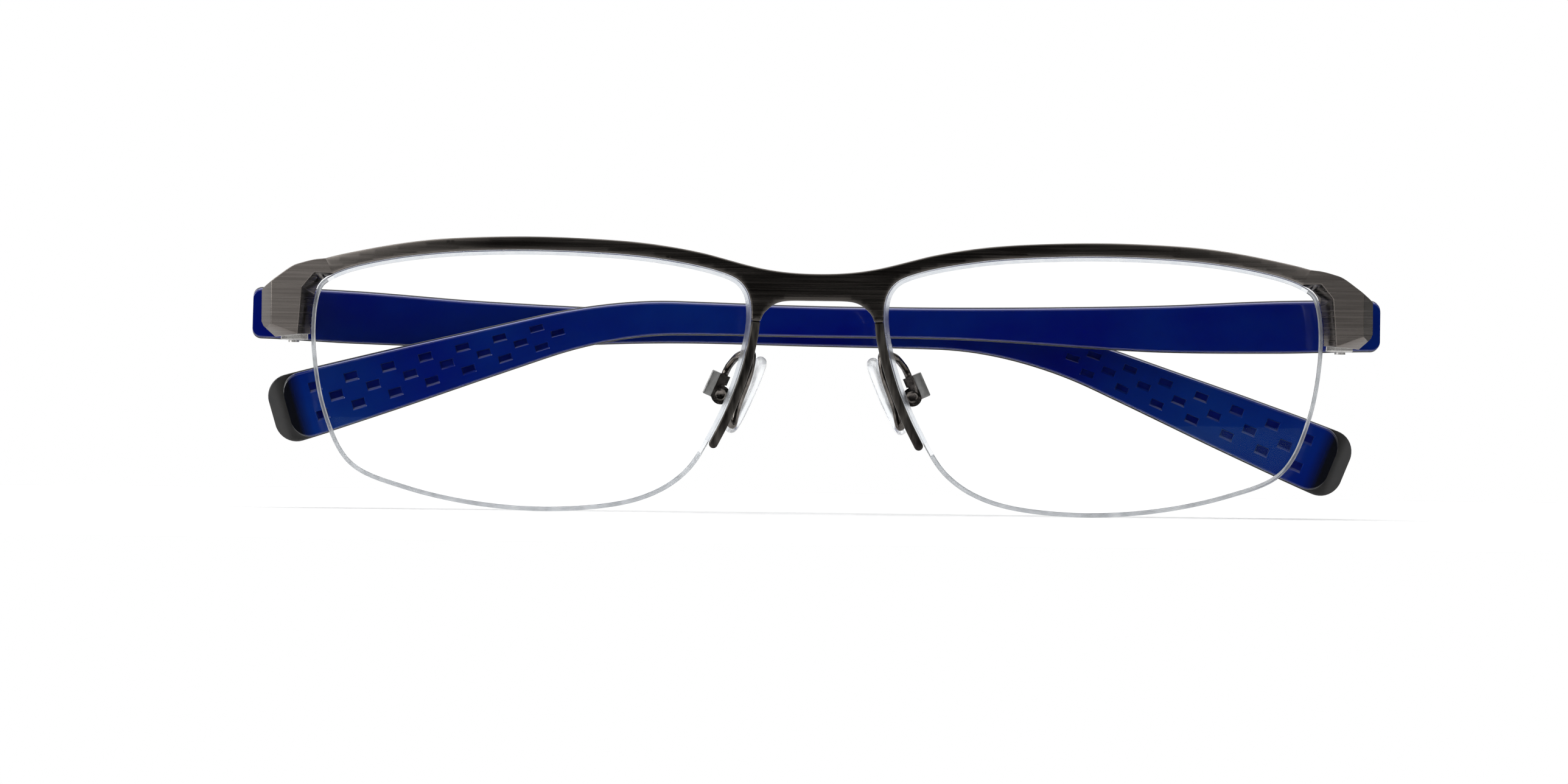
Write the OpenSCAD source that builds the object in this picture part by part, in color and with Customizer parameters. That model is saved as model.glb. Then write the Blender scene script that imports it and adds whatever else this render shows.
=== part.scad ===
// Semi-rimless eyeglasses, folded, standing upright on the lower edges of the lenses.
// X is across the front, with the wearer's left at +X. The front faces -Y and Z is up.
// The whole front follows one shallow dome, so the lenses, brow bar and legs nest together.

/* [Lenses] */
// Width of one lens
lens_w = 55; // [50:0.5:60]
// Height of one lens
lens_h = 32.5; // [29:0.5:38]
// Gap between the two lenses at the bridge
bridge_gap = 16.6; // [15:0.2:20]
// Thickness of a lens
lens_t = 2; // [1.6:0.1:2.4]
// Radius of the dome that the front follows
dome_r = 240; // [200:10:320]
// Depth of the groove round a lens
groove_depth = 0.6; // [0.5:0.05:0.7]

/* [Brow bar] */
// Height of the brow bar over a lens
brow_h = 1.7; // [1.4:0.1:2.4]
// How much taller the brow bar grows towards its outer ends
brow_grow = 0.55; // [0:0.05:0.8]
// Depth of the brow bar from front to back
brow_depth = 2.6; // [2.6:0.1:3.2]
// Drop of the bridge's upper edge from the top of the lenses
bridge_drop = 2.55; // [1.5:0.05:3.5]
// Height of the bridge at its middle
bridge_h = 3.35; // [2.4:0.1:4]
// Width of a nasal leg and of the stub above it
leg_w = 1.1; // [0.9:0.05:1.4]
// Depth of a nasal leg from front to back
leg_depth = 2.3; // [2.2:0.1:2.6]

/* [Nylon] */
// Diameter of the nylon cord under a lens
cord_d = 0.56; // [0.5:0.02:0.6]
// Room round the cord and the liner in the groove
groove_room = 0.06; // [0.04:0.01:0.1]

/* [Hinges] */
// Drop of the hinge's middle from the top of the lenses
hinge_drop = 8.25; // [7.5:0.05:9]
// Outside diameter of a hinge barrel
barrel_d = 2.8; // [2.5:0.1:3]
// Height of all three barrels together
barrel_h = 6.4; // [5.4:0.1:6.8]
// Diameter of the hinge screw
screw_d = 1.4; // [1.2:0.05:1.5]
// Running clearance round a screw
run_clear = 0.05; // [0.02:0.01:0.08]
// Gap between two barrels
knuckle_gap = 0.1; // [0.06:0.01:0.2]
// Depth of an end piece from its bevel to its back
end_depth = 4.7; // [4.4:0.1:5.4]

/* [Temples] */
// Length of a temple from the hinge to its tip, along its bend
temple_len = 136; // [130:1:145]
// Length of a temple's butt in front of the hinge
butt_len = 5.2; // [4.6:0.1:5.6]
// Thickness of the dark outer layer
outer_t = 1.3; // [1:0.1:1.6]
// Thickness of the blue inner layer
inner_t = 1.8; // [1.6:0.1:2]
// How far the outer layer shows past the inner one along the edges
edge_show = 0.15; // [0.1:0.05:0.3]
// How far the outer layer shows past the inner one at the tip
tip_show = 2; // [1:0.1:3]
// Distance from the hinge to the bend behind the ear
ear_at = 92; // [86:1:98]
// Radius of the bend behind the ear
ear_r = 60; // [40:5:80]
// Bend behind the ear on the left temple, in degrees
left_ear_bend = 16.5; // [14:0.5:20]
// Bend behind the ear on the right temple, in degrees
right_ear_bend = 21; // [18:0.5:23]
// How far a tip turns in towards the head
tip_in = 2.6; // [1:0.1:3]
// Number of grip recesses along a tip
grip_count = 7; // [5:1:8]
// Distance between grip recesses along the tip
grip_pitch = 4.8; // [4.5:0.1:5]
// Depth of a grip recess
grip_depth = 0.35; // [0.2:0.05:0.6]

/* [Nose pads] */
// Length of a nose pad
pad_l = 10.4; // [9:0.2:12]
// Width of a nose pad
pad_w = 6.4; // [5.5:0.1:7]
// Thickness of a nose pad
pad_t = 1.5; // [1.2:0.1:1.8]
// Slope of a nose pad seen from the front, in degrees
pad_slope = 24; // [20:1:28]
// Turn of a nose pad round its length, in degrees
pad_splay = 8; // [0:1:10]
// Diameter of the wire of a pad arm
arm_d = 0.9; // [0.8:0.05:1]
// Diameter of the pad screw
pad_screw_d = 0.9; // [0.8:0.05:1]

/* [Hidden] */
$fn = 48;

// Sides of the object
LEFT = 1;
RIGHT = -1;

// Clearance between pieces that only seat together
seat = 0.05;
// Thickness of the glue between the two layers of a temple
bond = 0.02;
// Distance from the dome's front to the middle of the whole object
set_back = 13.25;
// How far the fronts of a lens and of a leg lie behind the front of the brow bar
lens_back = 0.3;
leg_back = 0.15;

// Lens shape at its drawn size, from the middle of its box, nose side first and then over the top
drawn_w = 55;
drawn_h = 32.5;
lens_form = [
  [-27.5, 7.75], [-26.7, 11.95], [-23.2, 13.95], [-15.1, 15.5], [-6, 16.15],
  [3.1, 16.25], [12.2, 15.75], [19.8, 14.6], [24.9, 13], [27.05, 10.65],
  [27.5, 4.25], [26.1, -3.95], [22.7, -10.65], [15.7, -13.75], [6.2, -15.75],
  [-3.8, -16.25], [-13.3, -15], [-19.5, -11.6], [-23.3, -5.75], [-26.1, 1.05]
];
// Steps between two points of the lens shape
form_steps = 4;
lens_x = bridge_gap / 2 + lens_w / 2;
lens_z = lens_h / 2;
hinge_z = lens_h - hinge_drop;
bridge_top = lens_h - bridge_drop;
groove_w = cord_d + 2 * groove_room;
liner_t = groove_w - 2 * groove_room;
temporal_x = bridge_gap / 2 + lens_w;

// Places along the lens outline, in steps from the nose side
at_stub = 0;
at_bridge = 9;
at_brow_end = 32;
at_cord_end = 33;
at_leg_end = 71;

function smooth(a, b, c, d, t) =
  0.5 * (2 * b + (c - a) * t + (2 * a - 5 * b + 4 * c - d) * t * t + (3 * b - a - 3 * c + d) * t * t * t);
function closed_curve(p, n) = [
  for (i = [0 : len(p) - 1]) for (k = [0 : n - 1])
    smooth(p[(i + len(p) - 1) % len(p)], p[i], p[(i + 1) % len(p)], p[(i + 2) % len(p)], k / n)
];
function open_curve(p, n) = concat([
  for (i = [0 : len(p) - 2]) for (k = [0 : n - 1])
    smooth(i == 0 ? 2 * p[0] - p[1] : p[i - 1], p[i], p[i + 1],
      i + 2 < len(p) ? p[i + 2] : 2 * p[i + 1] - p[i], k / n)
], [p[len(p) - 1]]);
// A table's column at x, smooth between its rows
function row_of(x, t, i = 0) = i + 2 >= len(t) || x < t[i + 1][0] ? i : row_of(x, t, i + 1);
function slope_of(t, i, c) =
  i <= 0 || i >= len(t) - 1 ? 0 : (t[i + 1][c] - t[i - 1][c]) / (t[i + 1][0] - t[i - 1][0]);
function hermite(a, b, ma, mb, u) =
  a * (2 * u * u * u - 3 * u * u + 1) + ma * (u * u * u - 2 * u * u + u)
  + b * (3 * u * u - 2 * u * u * u) + mb * (u * u * u - u * u);
function column(x, t, c) =
  let (i = row_of(x, t), w = t[i + 1][0] - t[i][0], u = min(1, max(0, (x - t[i][0]) / w)))
  hermite(t[i][c], t[i + 1][c], slope_of(t, i, c) * w, slope_of(t, i + 1, c) * w, u);

lens_curve = closed_curve([
  for (p = lens_form) [lens_x + p[0] * lens_w / drawn_w, lens_z + p[1] * lens_h / drawn_h]
], form_steps);
lens_n = len(lens_curve);
function curve_dir(i) =
  let (d = lens_curve[(i + 1) % lens_n] - lens_curve[(i + lens_n - 1) % lens_n]) d / norm(d);
// A point of the lens outline, moved out of the lens by off
function rim(i, off) =
  let (k = (i + lens_n) % lens_n, d = curve_dir(k)) lens_curve[k] + off * [-d[1], d[0]];
function rim_run(first, last, off) =
  [for (i = [first : first <= last ? 1 : -1 : last]) rim(i, off)];

// Depth of the dome behind its front point, at a radius of r
function dome_y(x, z, r = dome_r) = dome_r - sqrt(r * r - x * x - (z - lens_z) * (z - lens_z));
lens_front_r = dome_r - lens_back;
lens_back_r = lens_front_r - lens_t;
lens_mid_r = (lens_front_r + lens_back_r) / 2;

// Everything is placed with the middle of the object over the origin
module place(k = LEFT) {
  translate([0, -set_back, 0])
    if (k == LEFT) children();
    else mirror([1, 0, 0]) children();
}
// A front view outline pushed straight back through the dome
module front_prism(pts) {
  reach = dome_r / 4;
  translate([0, reach, 0]) rotate([90, 0, 0]) linear_extrude(2 * reach) polygon(pts);
}
// The shell of the dome between two radii
module dome_shell(r_out, r_in) {
  translate([0, dome_r, lens_z])
    difference() {
      sphere(r_out, $fn = 240);
      sphere(r_in, $fn = 240);
    }
}
module on_dome(pts, r_out, r_in) {
  intersection() {
    front_prism(pts);
    dome_shell(r_out, r_in);
  }
}
// A closed ring of the dome along the lens outline, between two offsets
module rim_ring(outer, inner) {
  reach = dome_r / 4;
  intersection() {
    translate([0, reach, 0]) rotate([90, 0, 0]) linear_extrude(2 * reach)
      difference() {
        polygon(rim_run(0, lens_n - 1, outer));
        polygon(rim_run(0, lens_n - 1, inner));
      }
    dome_shell(lens_mid_r + groove_w / 2, lens_mid_r - groove_w / 2);
  }
}

// Brow bar and legs

stub_in = seat + leg_w;
// Height of the brow bar over the lens, at a place along the outline
at_grow = 20;
function brow_at(i) = brow_h + brow_grow * pow(max(0, i - at_grow) / (at_brow_end - at_grow), 2);
bridge_under = bridge_top - bridge_h;
arch_x = rim(at_stub, stub_in)[0];
arch_z = rim(at_stub, stub_in)[1];
arch_edge = [
  [arch_x, arch_z], [arch_x - 0.7, arch_z + 1.3], [arch_x - 2.7, bridge_under - 0.15], [0, bridge_under]
];
half_top = concat([for (i = [at_brow_end : -1 : at_bridge + 1]) rim(i, brow_at(i))],
  open_curve([rim(at_bridge, brow_h), [6.4 * bridge_gap / 16.6, bridge_top + 0.5], [0, bridge_top],
    [-6.4 * bridge_gap / 16.6, bridge_top + 0.5]], 4));
function upto_middle(p) = [for (q = p) if (q[0] > 0.01) q];
brow_top = upto_middle(half_top);
brow_arch = upto_middle(open_curve(arch_edge, 4));
brow_half = concat(brow_top, [[0, bridge_top]]);
brow_low = concat([[0, bridge_under]], [for (i = [len(brow_arch) - 1 : -1 : 0]) brow_arch[i]],
  rim_run(at_stub, at_brow_end, seat));
function flip(p) = [for (i = [len(p) - 1 : -1 : 0]) [-p[i][0], p[i][1]]];

module rim_groove() {
  rim_ring(groove_depth + seat, -groove_depth);
}

module brow_bar() {
  color("#3a3533") place()
    difference() {
      on_dome(concat(brow_half, flip(brow_top), flip(brow_low), [for (i = [1 : len(brow_low) - 1]) brow_low[i]]),
        dome_r, dome_r - brow_depth);
      rim_groove();
      mirror([1, 0, 0]) rim_groove();
    }
}

// A leg is a band beside the lens, with a round end below
leg_front_r = dome_r - leg_back;
leg_rear_r = leg_front_r - leg_depth;
leg_tip = rim(at_leg_end, seat + leg_w / 2);
leg_dir = curve_dir(at_leg_end);
leg_outline = concat(
  rim_run(at_leg_end, lens_n, seat), rim_run(lens_n, at_leg_end, seat + leg_w),
  [for (a = [30 : 30 : 150]) leg_tip + leg_w / 2 * (cos(a) * [-leg_dir[1], leg_dir[0]] - sin(a) * leg_dir)]
);
module nasal_leg(k) {
  color("#2c2a2a") place(k)
    difference() {
      on_dome(leg_outline, leg_front_r, leg_rear_r);
      rim_groove();
    }
}
module right_nasal_leg() nasal_leg(RIGHT);
module left_nasal_leg() nasal_leg(LEFT);

// Lenses, liners and cords

module lens(k) {
  color("#dfe9ee", 0.35) place(k)
    difference() {
      on_dome(rim_run(0, lens_n - 1, 0), lens_front_r, lens_back_r);
      rim_groove();
    }
}
module right_lens() lens(RIGHT);
module left_lens() lens(LEFT);

module rim_liner(k) {
  color("#d8dadb") place(k)
    intersection() {
      front_prism(concat(rim_run(at_leg_end - lens_n, at_brow_end, groove_depth),
        rim_run(at_brow_end, at_leg_end - lens_n, seat - groove_depth)));
      dome_shell(lens_mid_r + liner_t / 2, lens_mid_r - liner_t / 2);
    }
}
module right_rim_liner() rim_liner(RIGHT);
module left_rim_liner() rim_liner(LEFT);

// A tube of n sides through points, with flat ends
function tube_dir(p, i) =
  let (d = p[min(i + 1, len(p) - 1)] - p[max(i - 1, 0)]) d / norm(d);
function tube_ring(c, d, side, r, n) =
  let (u = cross(d, side) / norm(cross(d, side)), v = cross(u, d))
  [for (a = [0 : n - 1]) c + r * (u * cos(360 * a / n) + v * sin(360 * a / n))];
function ring_faces(rings, n) = concat(
  [[for (a = [n - 1 : -1 : 0]) a]],
  [for (i = [0 : rings - 2]) for (a = [0 : n - 1]) for (t = [0, 1])
    t == 0 ? [i * n + a, i * n + (a + 1) % n, (i + 1) * n + (a + 1) % n]
    : [i * n + a, (i + 1) * n + (a + 1) % n, (i + 1) * n + a]],
  [[for (a = [0 : n - 1]) (rings - 1) * n + a]]
);
module rings_solid(rings) {
  n = len(rings[0]);
  polyhedron([for (r = rings) for (p = r) p], ring_faces(len(rings), n), convexity = 8);
}
module tube(p, r, side, n = 8) {
  rings_solid([for (i = [0 : len(p) - 1]) tube_ring(p[i], tube_dir(p, i), side, r, n)]);
}

// The cord lies on the floor of the groove
cord_in = groove_depth - 0.03 - cord_d / 2;
module nylon_cord(k) {
  color("#e4e8ea") place(k)
    rings_solid([for (i = [at_cord_end : at_leg_end - 1])
      let (c = rim(i, -cord_in), d = curve_dir(i % lens_n), o = [-d[1], d[0]])
      [for (a = [0 : 7]) let (q = c + cord_d / 2 * cos(45 * a) * o)
        [q[0], dome_y(q[0], q[1], lens_mid_r) - cord_d / 2 * sin(45 * a), q[1]]]]);
}
module right_nylon_cord() nylon_cord(RIGHT);
module left_nylon_cord() nylon_cord(LEFT);

// End pieces and hinges

end_front = dome_y(temporal_x - 1.5, hinge_z + 6);
end_rear = end_front + end_depth;
// The hinge axis, placed so that the open temple's butt just clears the end piece
face_in = barrel_d / 2 + 0.25;
axis_x = temporal_x + 2.6;
axis_y = end_rear + butt_len + 0.25;

// Front view of an end piece, from the temporal edge of the lens and the middle of the hinge
end_top = [
  rim(at_brow_end, brow_at(at_brow_end)),
  for (p = [[-0.2, 6.85], [1.4, 6.45], [2.6, 6], [4.4, 4.75], [6, 3.5]]) [temporal_x + p[0], hinge_z + p[1]]
];
// It follows the lens's upper corner at a small gap, and stands clear of the lens below that
at_corner = 37;
corner_gap = 0.2;
end_outline = concat(
  [rim(at_brow_end, seat)], open_curve(end_top, 4),
  [for (p = [[6.45, 3], [6.45, -0.95], [6.2, -1.5], [4.7, -2.85], [0.3, -2.45], [0.2, 0.5]])
    [temporal_x + p[0], hinge_z + p[1]]],
  rim_run(at_corner, at_cord_end, corner_gap)
);
// Plan of an end piece, with a front face that leans out and a steep outer bevel
end_width = 6.45;
bevel_x = 5.2;
// Half of the height that the plan is pushed through
end_reach = 10;
// Height of the lower bevel's upper edge under the hinge's middle
low_bevel = 2.5;
lean = 0.287;
neck_x = -1.5;
function end_face(x) = end_front + lean * (x - neck_x);
end_plan = [
  [temporal_x - 8, end_face(-8)], [temporal_x + bevel_x, end_face(bevel_x)],
  [temporal_x + end_width, end_face(bevel_x) + 2.4], [temporal_x + end_width, end_rear],
  [temporal_x + 0.2, end_rear], [temporal_x - 0.4, end_face(-0.4) + brow_depth],
  [temporal_x - 8, end_face(-8) + brow_depth]
];
// Bevel beside the lens: its edge on the face, and its edge at the bevel's depth
crease_x = 1.85;
crease = [[crease_x, -2.6], [1.35, 3.4], [-0.2, 5.25], [-2.4, 5.2]];
crease_foot = [[0.3, -2.6], [0.1, 2.6], [-1.15, 4.35], [-2.57, 5.04]];
crease_depth = 2.4;
function on_face(p, back) = [temporal_x + p[0], end_face(p[0]) + back, hinge_z + p[1]];
// A point on the line that parts two flats of the bevel, in the front view
function parting(i, t) = let (d = crease[i] - crease_foot[i], q = crease_foot[i] + t * d / norm(d))
  [temporal_x + q[0], hinge_z + q[1]];
function corner_at(x, z) = [temporal_x + x, hinge_z + z];
crease_parts = [
  [corner_at(-4, -9), corner_at(8, -9), parting(1, 5), parting(1, -0.8)],
  [parting(1, -0.8), parting(1, 5), parting(2, 5), parting(2, -0.8)],
  [parting(2, -0.8), parting(2, 5), corner_at(-8, 9), corner_at(-8, 3)]
];
// All of space on the side of a plane that n points to
module beyond(p, n) {
  reach = 40;
  translate(p) rotate(acos(n[2] / norm(n)), cross([0, 0, 1], n))
    translate([-reach / 2, -reach / 2, 0]) cube(reach);
}

module lens_bevel() {
  for (i = [0 : 2]) {
    start = on_face(crease[i], 0);
    across = cross(on_face(crease[i + 1], 0) - start, on_face(crease_foot[i], crease_depth) - start);
    intersection() {
      beyond(start, across);
      front_prism(crease_parts[i]);
    }
  }
}
module end_piece(k) {
  color("#7d7670") place(k)
    difference() {
      intersection() {
        front_prism(end_outline);
        translate([0, 0, hinge_z - end_reach]) linear_extrude(2 * end_reach) polygon(end_plan);
        beyond([temporal_x + crease_x, end_face(crease_x), hinge_z - low_bevel], [-0.585, 0.8, 1]);
      }
      lens_bevel();
    }
}
module right_end_piece() end_piece(RIGHT);
module left_end_piece() end_piece(LEFT);

knuckle_h = (barrel_h - 2 * knuckle_gap) * 0.36;
middle_h = barrel_h - 2 * knuckle_gap - 2 * knuckle_h;
hinge_low = hinge_z - barrel_h / 2;
plate_t = 0.8;
screw_head_d = barrel_d - 0.2;
screw_head_h = 0.55;

module at_axis(k) {
  place(k) translate([axis_x, axis_y, 0]) children();
}
module front_knuckle(z) {
  translate([0, 0, z]) cylinder(d = barrel_d, h = knuckle_h);
  translate([-barrel_d / 2, end_rear - axis_y, z]) cube([barrel_d, axis_y - end_rear, knuckle_h]);
}
module front_hinge(k) {
  color("#6a6868") at_axis(k)
    difference() {
      union() {
        front_knuckle(hinge_low);
        front_knuckle(hinge_low + barrel_h - knuckle_h);
        translate([-barrel_d / 2 - 0.6, end_rear - axis_y, hinge_low]) cube([barrel_d + 0.6, plate_t, barrel_h]);
      }
      translate([0, 0, hinge_low - 1]) cylinder(d = screw_d + run_clear, h = barrel_h + 2);
    }
}
module right_front_hinge() front_hinge(RIGHT);
module left_front_hinge() front_hinge(LEFT);

module hinge_screw(k) {
  at_axis(k)
    difference() {
      union() {
        translate([0, 0, hinge_low - 0.3]) cylinder(d = screw_d, h = barrel_h + 0.3);
        translate([0, 0, hinge_low + barrel_h]) cylinder(d = screw_head_d, h = screw_head_h);
      }
      translate([0, 0, hinge_low + barrel_h + screw_head_h]) cube([screw_head_d + 1, 0.35, 0.5], center = true);
    }
}
module hinge_screws() {
  color("#b9b9b7") {
    hinge_screw(LEFT);
    hinge_screw(RIGHT);
  }
}

// Temples, drawn along s from the hinge axis to the tip, with n out from the head

// Height of the temple's middle line over the hinge's middle
line_z = 0;
// Distances from the hinge and the heights above and below the middle line there
heights = [
  [-5.2, 3.35, 3.15], [8, 3.15, 3.5], [24, 2.35, 3.5], [47, 1.85, 2.3], [66, 1.85, 2.15],
  [84, 2.25, 2.1], [96, 2.5, 2.55], [108, 3.1, 3.15], [122, 3.85, 3.9], [136, 4.3, 4.35]
];
drawn_len = 136;
butt_round = 1.1;
tip_round = 2.8;
layer_in = face_in;
layer_mid = face_in + inner_t;
layer_out = layer_mid + outer_t;

function ear_bend(k) = k == LEFT ? left_ear_bend : right_ear_bend;
// Slope of the whole temple, and how far past flat it folds, on each side
function lie(k) = k == LEFT ? 0 : 1;
function past_flat(k) = k == LEFT ? 2 : -1.8;
function arc_len(k) = ear_r * ear_bend(k) * PI / 180;
function arc_from(k) = ear_at - ear_r * tan(ear_bend(k) / 2);
// Place and slope of the middle line at a length of p
function line_at(p, k) =
  let (a0 = lie(k), b = ear_bend(k), from = arc_from(k), run = arc_len(k),
    q = min(max(p - from, 0), run), a = a0 + q / ear_r * 180 / PI,
    start = [min(p, from) * cos(a0), -min(p, from) * sin(a0)],
    bend = ear_r * [sin(a) - sin(a0), cos(a) - cos(a0)],
    rest = max(p - from - run, 0))
  [start[0] + bend[0] + rest * cos(a), start[1] + bend[1] - rest * sin(a), a];
function turn_in(p) = -tip_in * pow(max(p - ear_at + 10, 0) / (temple_len - ear_at + 10), 2);
function height_at(p, c) = column(p * drawn_len / temple_len, heights, c);
// How much a rounded end takes off the height, at a distance x from that end
function end_cut(x, r) = x >= r ? 0 : r - sqrt(max(0, r * r - (r - x) * (r - x)));
// How far the inner side of the outer layer falls away, at a distance x from the tip
tip_bevel_l = 1.4;
tip_bevel_t = 0.5;
function tip_bevel(x) = tip_bevel_t * max(0, 1 - x / tip_bevel_l);
function temple_point(p, n, w, k) =
  let (l = line_at(p, k), a = l[2])
  [-(l[0] + w * sin(a)), n + turn_in(p), hinge_z + line_z + l[1] + w * cos(a)];
// Lengths at which a layer is cut, with the rounded ends cut finer
function stations(from, to, r0, r1) = concat(
  [for (a = [0 : 30 : 90]) from + r0 * (1 - cos(a))],
  [for (i = [1 : 31]) from + r0 + (to - r1 - from - r0) * i / 32],
  [for (a = [90 : -22.5 : 0]) to - r1 * (1 - cos(a))]
);
function layer_ring(p, from, to, r0, r1, inset, section, k) =
  let (cut = inset + end_cut(p - from, r0) + end_cut(to - p, r1),
    up = height_at(p, 1) - cut, down = height_at(p, 2) - cut)
  [for (q = section) temple_point(p, q[0] + (q[0] == layer_mid ? tip_bevel(to - p) : 0),
    q[1] > 0 ? up - q[2] : -down + q[2], k)];
module layer(from, to, r0, r1, inset, section, k) {
  rings_solid([for (p = stations(from, to, r0, r1)) layer_ring(p, from, to, r0, r1, inset, section, k)]);
}

// Sections as [place across the thickness, upper or lower edge, distance from that edge]
edge_r = 0.75;
outer_section = [
  [layer_mid, -1, 0], [layer_mid, 1, 0],
  for (a = [0 : 30 : 90]) [layer_out - edge_r + edge_r * sin(a), 1, edge_r - edge_r * cos(a)],
  for (a = [90 : -30 : 0]) [layer_out - edge_r + edge_r * sin(a), -1, edge_r - edge_r * cos(a)]
];
inner_edge = 0.2;
inner_section = [
  [layer_in + inner_edge, -1, 0], [layer_in, -1, inner_edge], [layer_in, 1, inner_edge],
  [layer_in + inner_edge, 1, 0], [layer_mid - bond, 1, 0], [layer_mid - bond, -1, 0]
];

module at_temple(k) {
  at_axis(k) rotate([0, 0, past_flat(k)]) children();
}
module temple_outer(k) {
  color("#33363a") at_temple(k)
    layer(-butt_len, temple_len, butt_round, tip_round, 0, outer_section, k);
}
module right_temple_outer() temple_outer(RIGHT);
module left_temple_outer() temple_outer(LEFT);

// Hinge leaf on the temple, set into the inner layer
leaf_len = 11;
leaf_h = 3.6;
leaf_z = hinge_z + line_z;

// Size of a grip recess and the distance between its rows
grip_w = 1.7;
grip_h = 1.15;
grip_rows = 3;
grip_row_gap = 1.85;
grip_end = 6.2;

// The rows draw together as the temple narrows
function grip_share(p) = (height_at(p, 1) + height_at(p, 2))
  / (height_at(temple_len - grip_end, 1) + height_at(temple_len - grip_end, 2));
module grip_recess(p, row, k) {
  c = temple_point(p, layer_in, row * grip_row_gap * grip_share(p), k);
  translate(c) rotate([0, line_at(p, k)[2] * -1, 0])
    cube([grip_w, 2 * grip_depth, grip_h * grip_share(p)], center = true);
}
module temple_inner(k) {
  color("#1f3f8f") at_temple(k)
    difference() {
      layer(-butt_len, temple_len - tip_show, butt_round, tip_round - 0.4, edge_show, inner_section, k);
      translate([-leaf_len - seat, layer_in - 1, leaf_z - leaf_h / 2 - seat])
        cube([leaf_len + barrel_d / 2 + 2 * seat, 1 + plate_t, leaf_h + 2 * seat]);
      for (i = [0 : grip_count - 1]) for (j = [0 : grip_rows - 1])
        grip_recess(temple_len - grip_end - grip_pitch * (i + (j % 2) / 2), 1 - j, k);
    }
}
module right_temple_inner() temple_inner(RIGHT);
module left_temple_inner() temple_inner(LEFT);

module temple_hinge(k) {
  color("#6a6868") at_temple(k)
    difference() {
      union() {
        translate([0, 0, hinge_z - middle_h / 2]) cylinder(d = barrel_d, h = middle_h);
        translate([-barrel_d / 2, 0, hinge_z - middle_h / 2]) cube([barrel_d, layer_in + plate_t, middle_h]);
        translate([-leaf_len, layer_in, leaf_z - leaf_h / 2]) cube([leaf_len + barrel_d / 2, plate_t, leaf_h]);
      }
      translate([0, 0, hinge_z - middle_h]) cylinder(d = screw_d + 2 * run_clear, h = 2 * middle_h);
    }
}
module right_temple_hinge() temple_hinge(RIGHT);
module left_temple_hinge() temple_hinge(LEFT);

// Nose pads, drawn from the middle of the pad screw, with the pad along -X and the screw along Y

pad_axis_x = bridge_gap / 2 + 3.65;
pad_axis_y = 8.5;
pad_axis_z = lens_z - 1.5;
boss_w = 2;
boss_d = 1.7;
boss_out = 1.6;
// How far the middle of a pad lies above its screw
pad_up = 1.3;
box_wall = 0.45;
// Radius of a cheek round the screw, and the block behind the screw
cheek_r = 1.2;
block_w = 1.1;
block_up = 2.5;
block_down = 0.7;
block_proud = 0.15;
cheek_up = 1.6;
// A roof over the boss carries the arm
roof_out = 0.2;
roof_low = 1.3;
web_at = boss_d / 2 + 0.25;
insert_t = 0.5;
insert_l = 7;
insert_w = 3.4;

module at_pad(k) {
  place(k) translate([pad_axis_x, pad_axis_y, pad_axis_z]) rotate([0, -pad_slope, 0]) children();
}
function oval(w, l, n, x) = [for (a = [0 : n - 1])
  [x, w / 2 * cos(360 * a / n) * (1 - 0.1 * sin(360 * a / n)), l / 2 * sin(360 * a / n)]];
// Insets across the thickness of a pad, as shares of its thickness
pad_round = [[0, 0.5], [0.2, 0.14], [0.5, 0], [0.8, 0.14], [1, 0.5]];
// The back of the pad's plate, in the middle of the pad
module at_plate(k) {
  at_pad(k) translate([-boss_out, 0, pad_up]) rotate([0, 0, -pad_splay]) children();
}
module nose_pad(k) {
  color("#eef2f3", 0.5) at_plate(k)
    rings_solid([for (q = pad_round)
      oval(pad_w - q[1] * pad_t * 2, pad_l - q[1] * pad_t * 2, 28, -insert_t - q[0] * pad_t)]);
}
module right_nose_pad() nose_pad(RIGHT);
module left_nose_pad() nose_pad(LEFT);

module pad_insert(k) {
  color("#e6ecee", 0.6) {
    difference() {
      union() {
        at_pad(k) rotate([90, 0, 0]) cylinder(d = boss_d, h = boss_w, center = true);
        at_pad(k) translate([-boss_out, -boss_w / 2, -boss_d / 2]) cube([boss_out, boss_w, boss_d]);
        at_plate(k) translate([-insert_t, 0, 0]) rotate([90, 0, 90]) linear_extrude(insert_t)
          polygon([for (q = oval(insert_w, insert_l, 28, 0)) [q[1], q[2]]]);
      }
      at_pad(k) rotate([90, 0, 0]) cylinder(d = pad_screw_d + 2 * run_clear, h = 3 * boss_w, center = true);
    }
  }
}
module right_pad_insert() pad_insert(RIGHT);
module left_pad_insert() pad_insert(LEFT);

box_in = boss_w + 0.12;
module pad_box(k) {
  color("#55514e") at_pad(k)
    difference() {
      union() {
        for (m = [-1, 1]) translate([0, m * (box_in + box_wall) / 2, 0]) {
          rotate([90, 0, 0]) cylinder(r = cheek_r, h = box_wall, center = true);
          translate([0, -box_wall / 2, -block_down])
            cube([web_at + block_w / 2, box_wall, block_down + cheek_up]);
        }
        translate([web_at, -box_in / 2 - box_wall - block_proud, -block_down])
          cube([block_w, box_in + 2 * box_wall + 2 * block_proud, block_up + block_down]);
        translate([-roof_out, -box_in / 2 - box_wall, roof_low])
          cube([roof_out + web_at + block_w / 2, box_in + 2 * box_wall, block_up - roof_low]);
      }
      rotate([90, 0, 0]) cylinder(d = pad_screw_d + run_clear, h = 3 * boss_w, center = true);
    }
}
module right_pad_box() pad_box(RIGHT);
module left_pad_box() pad_box(LEFT);

pad_head_d = 1.5;
pad_head_h = 0.4;
module pad_screw(k) {
  at_pad(k) rotate([90, 0, 0])
    union() {
      translate([0, 0, -box_in / 2 - box_wall - 0.2]) cylinder(d = pad_screw_d, h = box_in + 2 * box_wall + 0.2);
      translate([0, 0, box_in / 2 + box_wall]) cylinder(d = pad_head_d, h = pad_head_h);
    }
}
module pad_screws() {
  color("#c2c2c0") {
    pad_screw(LEFT);
    pad_screw(RIGHT);
  }
}

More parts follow.
